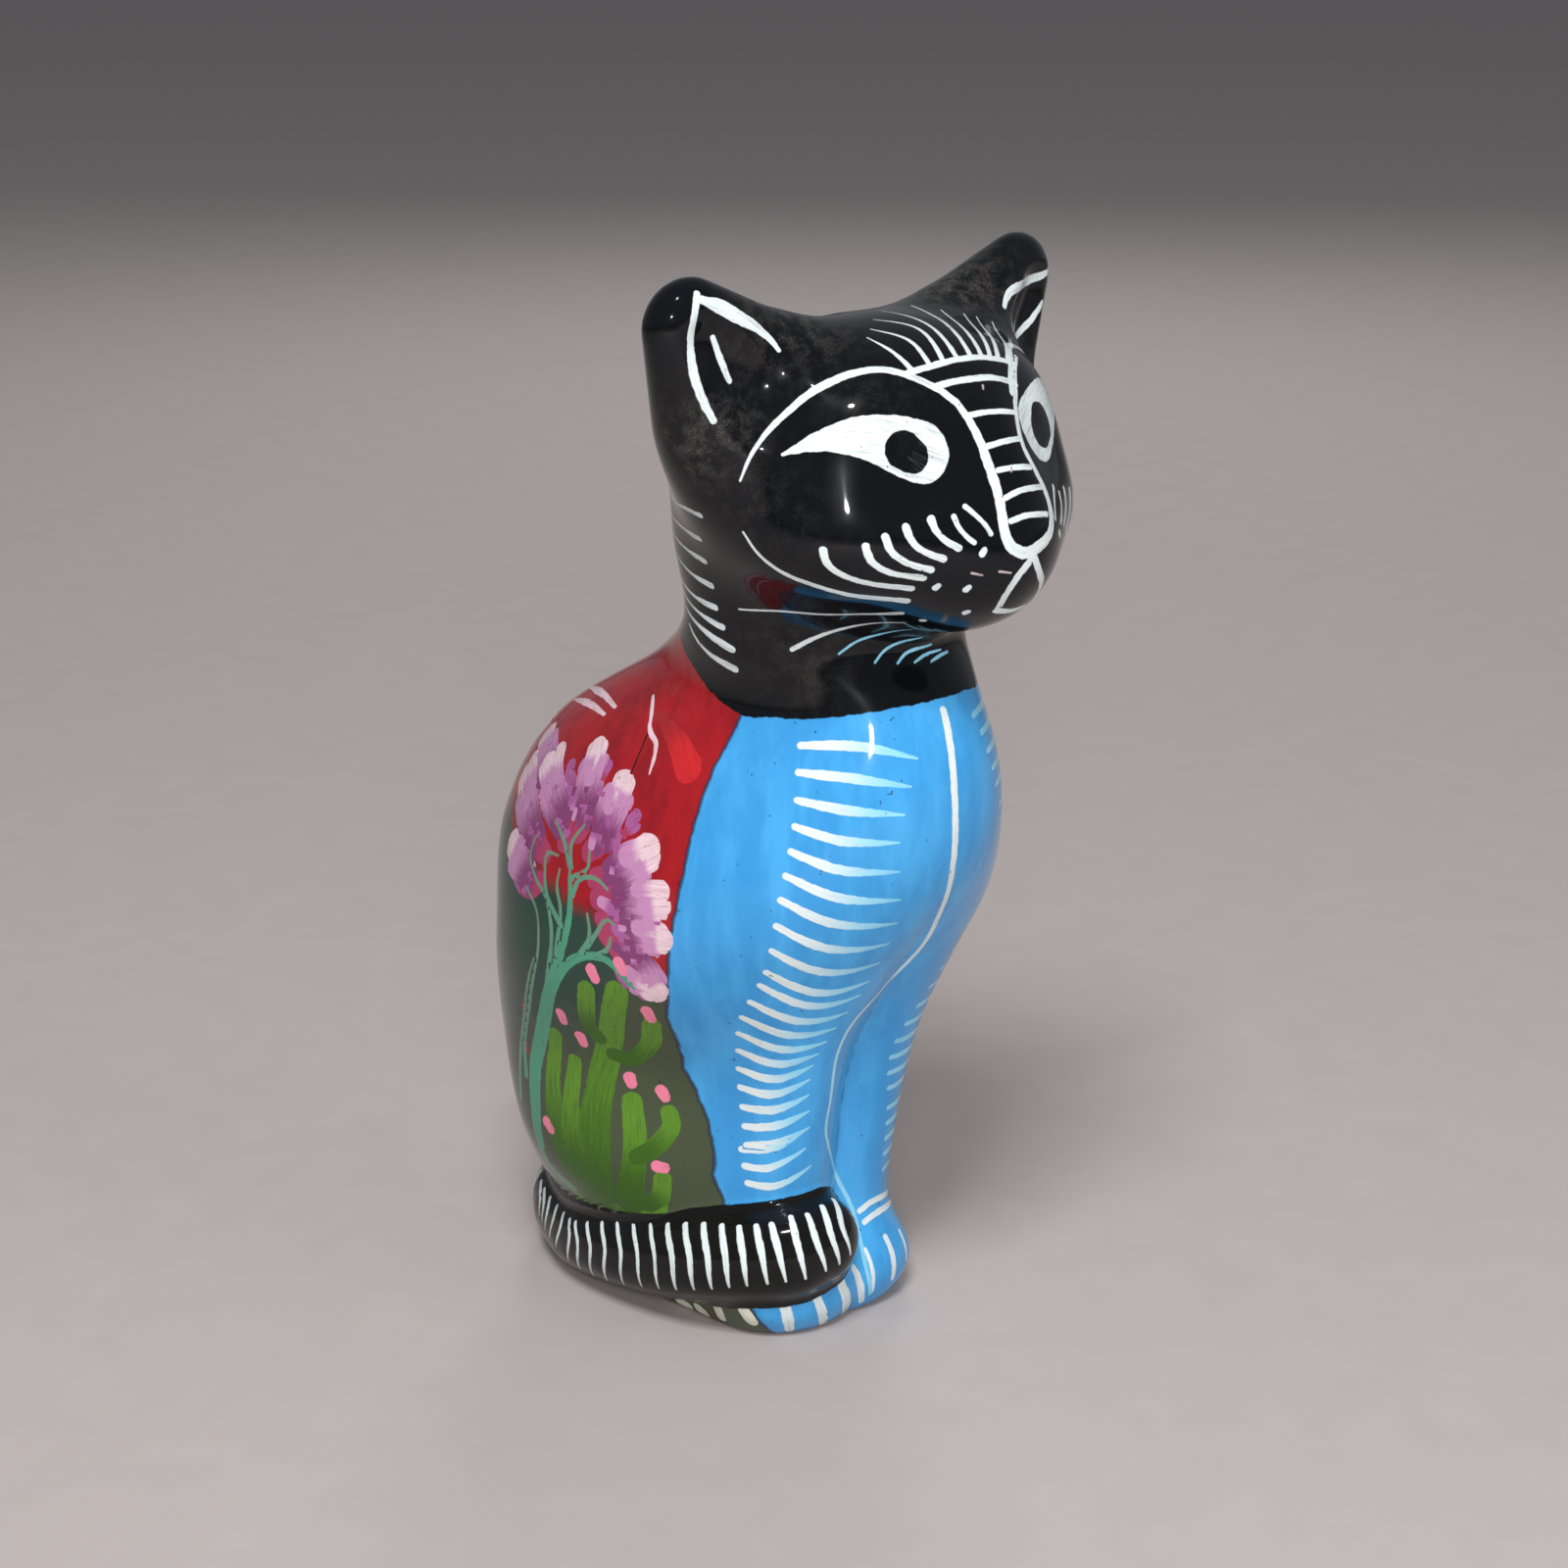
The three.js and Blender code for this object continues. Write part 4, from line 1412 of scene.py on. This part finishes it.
class NodeKit:
    """Short calls that add and join shader nodes in one tree."""

    def __init__(self, tree: bpy.types.NodeTree) -> None:
        """Works on a node tree.

        Args:
            tree: The tree.
        """
        self.tree = tree
        self.column = 0

    def add(self, kind: str, inputs: dict | None = None, **settings: object) -> bpy.types.Node:
        """Adds a node.

        Args:
            kind: Its Blender type.
            inputs: Values or sockets for its inputs, by name or number.
            settings: Its properties.

        Returns:
            The node.
        """
        node = self.tree.nodes.new(kind)
        node.location = (self.column * 190, -(self.column % 7) * 90)
        self.column += 1
        for name, value in settings.items():
            setattr(node, name, value)
        for name, value in (inputs or {}).items():
            self.put(node.inputs[name], value)
        return node

    def put(self, socket: Socket, value: object) -> None:
        """Sets or links an input.

        Args:
            socket: The input.
            value: A number, a vector, a colour or another node's output.
        """
        if isinstance(value, bpy.types.NodeSocket):
            self.tree.links.new(value, socket)
        else:
            socket.default_value = value

    def math(self, operation: str, *values: object, clamp: bool = False) -> Socket:
        """Returns the output of a Math node on one to three values."""
        inputs = dict(enumerate(values))
        return self.add("ShaderNodeMath", inputs, operation=operation, use_clamp=clamp).outputs[0]

    def mix(self, factor: object, a: object, b: object, blend: str = "MIX") -> Socket:
        """Returns a colour mixed from two."""
        node = self.add("ShaderNodeMix", data_type="RGBA", blend_type=blend)
        self.put(node.inputs[0], factor)
        self.put(node.inputs[6], a)
        self.put(node.inputs[7], b)
        return node.outputs[2]

    def blend(self, factor: object, a: object, b: object) -> Socket:
        """Returns a number mixed from two."""
        node = self.add("ShaderNodeMix", data_type="FLOAT")
        self.put(node.inputs[0], factor)
        self.put(node.inputs[2], a)
        self.put(node.inputs[3], b)
        return node.outputs[0]

    def noise(self, vector: object, scale: float, detail: float = 2.0, rough: float = 0.5) -> Socket:
        """Returns the value of a noise texture."""
        inputs = {"Vector": vector, "Scale": scale, "Detail": detail, "Roughness": rough}
        return self.add("ShaderNodeTexNoise", inputs, noise_dimensions="3D").outputs[0]

    def step(self, value: object, low: object, high: object) -> Socket:
        """Returns 0 below low, 1 above high and a smooth step between."""
        inputs = {0: value, 1: low, 2: high, 3: 0.0, 4: 1.0}
        return self.add("ShaderNodeMapRange", inputs, interpolation_type="SMOOTHSTEP").outputs[0]

    def scaled(self, vector: object, scale: Point | float) -> Socket:
        """Returns a vector times a scale."""
        by = scale if isinstance(scale, tuple) else (scale, scale, scale)
        return self.add("ShaderNodeVectorMath", {0: vector, 1: by}, operation="MULTIPLY").outputs[0]

    def split(self, vector: object) -> tuple[Socket, Socket, Socket]:
        """Returns a vector's three parts."""
        node = self.add("ShaderNodeSeparateXYZ", {0: vector})
        return node.outputs[0], node.outputs[1], node.outputs[2]

    def attribute(self, name: str) -> Socket:
        """Returns a vector that is stored in the mesh."""
        return self.add("ShaderNodeAttribute", attribute_name=name, attribute_type="GEOMETRY").outputs["Vector"]


def new_group(
    name: str, inputs: dict[str, str], outputs: dict[str, str]
) -> tuple[bpy.types.NodeTree, NodeKit, dict[str, Socket], bpy.types.Node]:
    """Starts a shader node group.

    Args:
        name: Its name.
        inputs: The types of its inputs by name.
        outputs: The types of its outputs by name.

    Returns:
        The group, its kit, its input sockets by name and its output node.
    """
    tree = bpy.data.node_groups.new(name, "ShaderNodeTree")
    for label, kind in inputs.items():
        tree.interface.new_socket(label, in_out="INPUT", socket_type=kind)
    for label, kind in outputs.items():
        tree.interface.new_socket(label, in_out="OUTPUT", socket_type=kind)
    kit = NodeKit(tree)
    start = kit.add("NodeGroupInput")
    end = kit.add("NodeGroupOutput")
    return tree, kit, {label: start.outputs[label] for label in inputs}, end


class BrushGroup:
    """A node group that paints one layer of brush strokes."""

    bristles = (2.6, 0.16, 41.0)

    def __init__(self) -> None:
        """Builds the group."""
        vector, number, colour = "NodeSocketVector", "NodeSocketFloat", "NodeSocketColor"
        self.tree, kit, given, end = new_group(
            "brush_strokes",
            {"Path": vector, "Brush": vector, "Place": vector, "Below": colour},
            {"Color": colour, "Mask": number},
        )
        across, along, left = kit.split(given["Path"])
        half, code, tip_code = kit.split(given["Brush"])
        past = kit.math("MINIMUM", kit.math("MINIMUM", along, left), 0.0)
        squares = kit.math("ADD", kit.math("MULTIPLY", across, across), kit.math("MULTIPLY", past, past))
        off = kit.math("SQRT", squares)
        uneven = kit.math("SUBTRACT", kit.noise(given["Place"], 0.55, 3.0), 0.5)
        ragged = kit.math("MULTIPLY", uneven, 0.6)
        ragged = kit.math("MULTIPLY", ragged, kit.math("MINIMUM", half, 1.0))
        margin = kit.math("ADD", kit.math("SUBTRACT", half, off), ragged)
        mask = kit.step(margin, -0.1, 0.13)
        share = kit.math("DIVIDE", along, kit.math("MAXIMUM", kit.math("ADD", along, left), 0.01), clamp=True)
        chance = kit.math("FRACT", kit.math("MULTIPLY", code, float(len(Paint))))
        lane = kit.add("ShaderNodeCombineXYZ", {0: across, 1: along, 2: chance}).outputs[0]
        streak = kit.noise(kit.scaled(lane, self.bristles), 1.0, 3.0, 0.6)
        first, second = self._palette(kit, code), self._palette(kit, tip_code)
        turned = kit.math("ADD", share, kit.math("MULTIPLY", kit.math("SUBTRACT", streak, 0.5), 0.5))
        paint = kit.mix(kit.step(turned, 0.2, 0.85), first, second)
        bright = kit.blend(streak, 0.8, 1.16)
        grey = kit.add("ShaderNodeCombineColor", {0: bright, 1: bright, 2: bright}).outputs[0]
        shaded = kit.mix(1.0, paint, grey, "MULTIPLY")
        thin = kit.step(kit.math("ADD", streak, kit.math("MULTIPLY", share, -0.16)), 0.16, 0.4)
        cover = kit.math("MULTIPLY", mask, kit.blend(thin, 0.72, 1.0))
        kit.put(end.inputs["Color"], kit.mix(cover, given["Below"], shaded))
        kit.put(end.inputs["Mask"], mask)

    @staticmethod
    def _palette(kit: NodeKit, code: Socket) -> Socket:
        """Looks a paint up in the palette.

        Args:
            kit: The group's kit.
            code: The paint's code.

        Returns:
            Its colour.
        """
        node = kit.add("ShaderNodeValToRGB", {0: code})
        ramp = node.color_ramp
        ramp.interpolation = "CONSTANT"
        for n, paint in enumerate(Paint):
            stop = ramp.elements[0] if n == 0 else ramp.elements.new(n / len(Paint))
            stop.color = paint.linear()
        if len(ramp.elements) > len(Paint):
            ramp.elements.remove(ramp.elements[-1])
        return node.outputs[0]


class WearGroup:
    """A node group for hand-brushed fields: broad streaks, fine grain and slow waves."""

    def __init__(self) -> None:
        """Builds the group."""
        vector, number = "NodeSocketVector", "NodeSocketFloat"
        outputs = {"Streak": number, "Grain": number, "Wave": number}
        self.tree, kit, given, end = new_group("brushed_field", {"Place": vector}, outputs)
        flow = kit.scaled(given["Place"], (1.0, 1.0, 0.22))
        kit.put(end.inputs["Streak"], kit.noise(flow, 0.14, 4.0, 0.6))
        kit.put(end.inputs["Grain"], kit.noise(given["Place"], 3.2, 2.0, 0.7))
        kit.put(end.inputs["Wave"], kit.noise(given["Place"], 0.05, 2.0, 0.5))


@dataclass(frozen=True)
class Lacquer:
    """The painted and lacquered finish."""

    blue: Colour = (70, 158, 216)
    blue_deep: Colour = (56, 142, 202)
    black: Colour = (8, 10, 14)
    red: Colour = (154, 26, 33)
    red_dark: Colour = (128, 22, 30)
    teal: Colour = (38, 62, 54)
    olive: Colour = (66, 75, 55)
    # The tail's black, also laid along its seam with the body as painted shadow in the crease.
    tail_black_and_seam_shade: Colour = (17, 16, 15)
    clay: Colour = (176, 128, 100)
    clay_dark: Colour = (150, 104, 80)
    speck: Colour = (26, 24, 28)
    dust: Colour = (146, 138, 130)
    edge: float = 0.12
    coat: float = 0.5
    coat_roughness: float = 0.04
    specular: float = 0.08
    ior: float = 1.5
    clay_roughness: float = 0.85
    relief: float = 0.55
    relief_depth: float = 0.0006

    def material(self, brush: BrushGroup, wear: WearGroup) -> bpy.types.Material:
        """Builds the material.

        Args:
            brush: The stroke layers' group.
            wear: The brushed fields' group.

        Returns:
            The material.
        """
        material = bpy.data.materials.new("painted_pottery_lacquer")
        material.use_nodes = True
        tree = material.node_tree
        tree.nodes.clear()
        kit = NodeKit(tree)
        place = kit.scaled(kit.add("ShaderNodeTexCoord").outputs["Object"], 1000.0)
        field = kit.add("ShaderNodeGroup", node_tree=wear.tree)
        kit.put(field.inputs["Place"], place)
        streak, grain, wave = (field.outputs[n] for n in ("Streak", "Grain", "Wave"))
        head, front, tail = kit.split(kit.attribute("fields"))
        red, teal, bare = kit.split(kit.attribute("ground"))
        shift = kit.math("MULTIPLY", kit.math("SUBTRACT", streak, 0.5), 30.0)
        small = kit.math("MULTIPLY", kit.math("SUBTRACT", kit.noise(place, 0.35, 2.0), 0.5), 1.1)
        in_teal = kit.step(kit.math("ADD", teal, shift), -8.0, 10.0)
        ground = kit.mix(in_teal, linear(self.olive), linear(self.teal))
        reds = kit.mix(kit.step(streak, 0.3, 0.62), linear(self.red_dark), linear(self.red))
        in_red = kit.step(kit.math("ADD", red, kit.math("MULTIPLY", shift, 0.35)), -2.5, 3.0)
        ground = kit.mix(in_red, ground, reds)
        off_line = kit.step(kit.math("ABSOLUTE", kit.math("ADD", front, small)), 0.25, 0.6)
        line = kit.math("SUBTRACT", 1.0, off_line)
        blues = kit.mix(kit.step(streak, 0.35, 0.68), linear(self.blue_deep), linear(self.blue))
        on_front = kit.step(kit.math("ADD", front, small), -self.edge, self.edge)
        ground = kit.mix(on_front, ground, blues)
        ground = kit.mix(kit.math("MULTIPLY", line, 0.75), ground, Paint.DARK_LINE.linear())
        on_head = kit.step(kit.math("ADD", head, small), -self.edge, self.edge)
        ground = kit.mix(on_head, ground, linear(self.black))
        # The tail's black and its seam onto the body, which is partly painted shadow in the crease.
        on_tail = kit.step(kit.math("ADD", tail, kit.math("MULTIPLY", small, 0.4)), -self.edge, self.edge)
        cover = None
        for layer in range(LAYERS):
            if layer == LAYERS - 1:
                ground = kit.mix(on_tail, ground, linear(self.tail_black_and_seam_shade))
            node = kit.add("ShaderNodeGroup", node_tree=brush.tree)
            kit.put(node.inputs["Path"], kit.attribute(f"path{layer}"))
            kit.put(node.inputs["Brush"], kit.attribute(f"brush{layer}"))
            kit.put(node.inputs["Place"], place)
            kit.put(node.inputs["Below"], ground)
            ground = node.outputs["Color"]
            mask = node.outputs["Mask"]
            cover = mask if cover is None else kit.math("MAXIMUM", cover, mask)
        worn = kit.split(kit.attribute("wear"))[0]
        speck = kit.math("MULTIPLY", kit.step(kit.noise(place, 0.75, 1.0), 0.755, 0.78), 0.6)
        ground = kit.mix(speck, ground, linear(self.speck))
        clump = kit.step(kit.noise(place, 0.3, 4.0, 0.65), 0.4, 0.66)
        spread = kit.math("ADD", worn, kit.math("MULTIPLY", kit.step(wave, 0.46, 0.62), 0.04))
        dust = kit.math("MULTIPLY", kit.math("MULTIPLY", kit.step(grain, 0.3, 0.75), clump), spread)
        ground = kit.mix(kit.math("MULTIPLY", dust, 0.38), ground, linear(self.dust))
        clay = kit.mix(kit.step(grain, 0.3, 0.7), linear(self.clay), linear(self.clay_dark))
        ground = kit.mix(bare, ground, clay)
        rough = kit.blend(kit.step(wave, 0.35, 0.65), 0.14, 0.24)
        rough = kit.math("ADD", rough, kit.math("MULTIPLY", dust, 0.3))
        rough = kit.blend(bare, rough, self.clay_roughness)
        height = kit.math("ADD", kit.math("MULTIPLY", cover, 0.1), kit.math("MULTIPLY", wave, 0.9))
        height = kit.math("ADD", height, kit.math("MULTIPLY", grain, 0.012))
        relief = {"Strength": self.relief, "Distance": self.relief_depth, "Height": height}
        bump = kit.add("ShaderNodeBump", relief)
        shader = kit.add("ShaderNodeBsdfPrincipled", {"Base Color": ground, "Roughness": rough})
        kit.put(shader.inputs["Normal"], bump.outputs[0])
        fired = kit.math("SUBTRACT", 1.0, bare)
        kit.put(shader.inputs["Coat Weight"], kit.math("MULTIPLY", fired, self.coat))
        shader.inputs["Coat Roughness"].default_value = self.coat_roughness
        shader.inputs["Specular IOR Level"].default_value = self.specular
        shader.inputs["IOR"].default_value = self.ior
        output = kit.add("ShaderNodeOutputMaterial")
        tree.links.new(shader.outputs[0], output.inputs[0])
        return material


@dataclass(frozen=True)
class CatBank:
    """The painted bank itself."""

    form: CatForm = CatForm()
    spacing: float = 1.42

    def build(self, material: bpy.types.Material) -> bpy.types.Object:
        """Makes the object and paints it.

        Args:
            material: The lacquered finish.

        Returns:
            The object.
        """
        shell = Shell(self.form, self.spacing)
        LOG.info("shell: %d points, %d quads", len(shell.points), len(shell.quads))
        points = shell.points * self.form.scale * MM
        points[:, 2] = np.maximum(points[:, 2], 0)
        mesh = bpy.data.meshes.new("painted_cat")
        mesh.from_pydata(points.tolist(), [], shell.quads.tolist())
        mesh.update()
        mesh.shade_smooth()
        self._write(mesh, shell)
        mesh.materials.append(material)
        item = bpy.data.objects.new("painted_cat", mesh)
        bpy.context.scene.collection.objects.link(item)
        mesh.normals_split_custom_set_from_vertices(shell.normals.tolist())
        return item

    def _write(self, mesh: bpy.types.Mesh, shell: Shell) -> None:
        """Stores the paint in the mesh.

        Args:
            mesh: The mesh.
            shell: The points and quads that it was made from.
        """
        for name, values in Regions().paint(self.form, shell.points).items():
            store = mesh.attributes.new(name, "FLOAT_VECTOR", "POINT")
            store.data.foreach_set("vector", values.astype(np.float32).ravel())
        paint = StrokeMap(shell)
        strokes = FlankPaint().strokes() + ChestPaint().strokes() + FacePaint().strokes()
        for stroke in strokes:
            paint.add(stroke)
        LOG.info("paint: %d strokes", len(strokes))
        for layer in range(LAYERS):
            written = {f"path{layer}": paint.path[layer], f"brush{layer}": paint.brush[layer]}
            for name, values in written.items():
                store = mesh.attributes.new(name, "FLOAT_VECTOR", "CORNER")
                store.data.foreach_set("vector", values.astype(np.float32).ravel())


@dataclass(frozen=True)
class Studio:
    """The pale floor, the soft lights and the camera at the photograph's angle."""

    azimuth: float = -46.0
    elevation: float = 16.5
    distance: float = 720.0
    aim: float = 120.0
    half_view: float = 0.2378
    floor_reach: float = 12.0
    surroundings: tuple[float, float, float, float] = (0.46, 0.48, 0.52, 1)
    surroundings_strength: float = 0.4

    def floor(self) -> bpy.types.Object:
        """Returns the pale floor."""
        material = bpy.data.materials.new("pale_floor")
        material.use_nodes = True
        kit = NodeKit(material.node_tree)
        shader = next(n for n in material.node_tree.nodes if n.type == "BSDF_PRINCIPLED")
        spot = kit.noise(kit.add("ShaderNodeTexCoord").outputs["Object"], 60.0, 3.0)
        kit.put(shader.inputs["Base Color"], kit.mix(spot, (0.42, 0.375, 0.36, 1), (0.46, 0.41, 0.395, 1)))
        shader.inputs["Roughness"].default_value = 0.9
        mesh = bpy.data.meshes.new("floor")
        size = self.floor_reach
        corners = [(-size, -size, 0), (size, -size, 0), (size, size, 0), (-size, size, 0)]
        mesh.from_pydata(corners, [], [(0, 1, 2, 3)])
        mesh.materials.append(material)
        item = bpy.data.objects.new("floor", mesh)
        bpy.context.scene.collection.objects.link(item)
        return item

    def light(self, name: str, at: Point, size: float, power: float, mirrored: bool = False) -> None:
        """Adds a round soft light that points at the cat.

        Args:
            name: Its name.
            at: Where it stands, in metres.
            size: Its width in metres.
            power: Its power in watts.
            mirrored: Whether the lacquer mirrors it.
        """
        lamp = bpy.data.lights.new(name, "AREA")
        lamp.shape = "DISK"
        lamp.size = size
        lamp.energy = power
        item = bpy.data.objects.new(name, lamp)
        item.location = at
        item.rotation_euler = (Vector((0, 0, 0.12)) - Vector(at)).to_track_quat("-Z", "Y").to_euler()
        item.visible_glossy = mirrored
        bpy.context.scene.collection.objects.link(item)

    def lights(self) -> None:
        """Adds the lights and the pale surroundings."""
        world = bpy.context.scene.world or bpy.data.worlds.new("studio")
        bpy.context.scene.world = world
        world.use_nodes = True
        world.node_tree.nodes["Background"].inputs[0].default_value = self.surroundings
        world.node_tree.nodes["Background"].inputs[1].default_value = self.surroundings_strength
        self.light("window", (-0.94, -0.66, 1.75), 0.6, 28)
        self.light("front", (-0.71, -0.74, 0.47), 0.3, 5.6)
        self.light("fill", (0.5, -1.3, 0.4), 0.6, 3.2)
        self.light("rim", (1.2, 1.0, 1.1), 0.6, 8)
        self.light("spark", (-0.74, -0.72, 0.5), 0.045, 1.1, mirrored=True)
        self.light("high_spark", (-0.5, -0.62, 1.4), 0.1, 1.8, mirrored=True)
        bpy.context.scene.view_settings.view_transform = "Standard"

    def camera(self, scale: float) -> None:
        """Adds the camera.

        Args:
            scale: Full size over drawn size.
        """
        az, el = math.radians(self.azimuth), math.radians(self.elevation)
        back = Vector((math.sin(az) * math.cos(el), -math.cos(az) * math.cos(el), math.sin(el)))
        aim = Vector((0, 0, self.aim * scale * MM))
        data = bpy.data.cameras.new("camera")
        data.sensor_width = 36
        data.lens = 18 / self.half_view
        data.clip_start = 0.01
        item = bpy.data.objects.new("camera", data)
        item.location = aim + back * self.distance * scale * MM
        item.rotation_euler = (-back).to_track_quat("-Z", "Y").to_euler()
        bpy.context.scene.collection.objects.link(item)
        bpy.context.scene.camera = item


def main() -> None:
    """Builds the bank and the studio, and reports each piece."""
    logging.basicConfig(level=logging.INFO, format="%(message)s")
    studio = Studio()
    studio.camera(CatForm().scale)
    studio.floor()
    studio.lights()
    bank = CatBank()
    piece = bank.build(Lacquer().material(BrushGroup(), WearGroup()))
    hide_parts("cat_bank")
    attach(piece, "root")
    LOG.info("painted_cat: %d faces", len(piece.data.polygons))


if __name__ == "__main__":
    main()
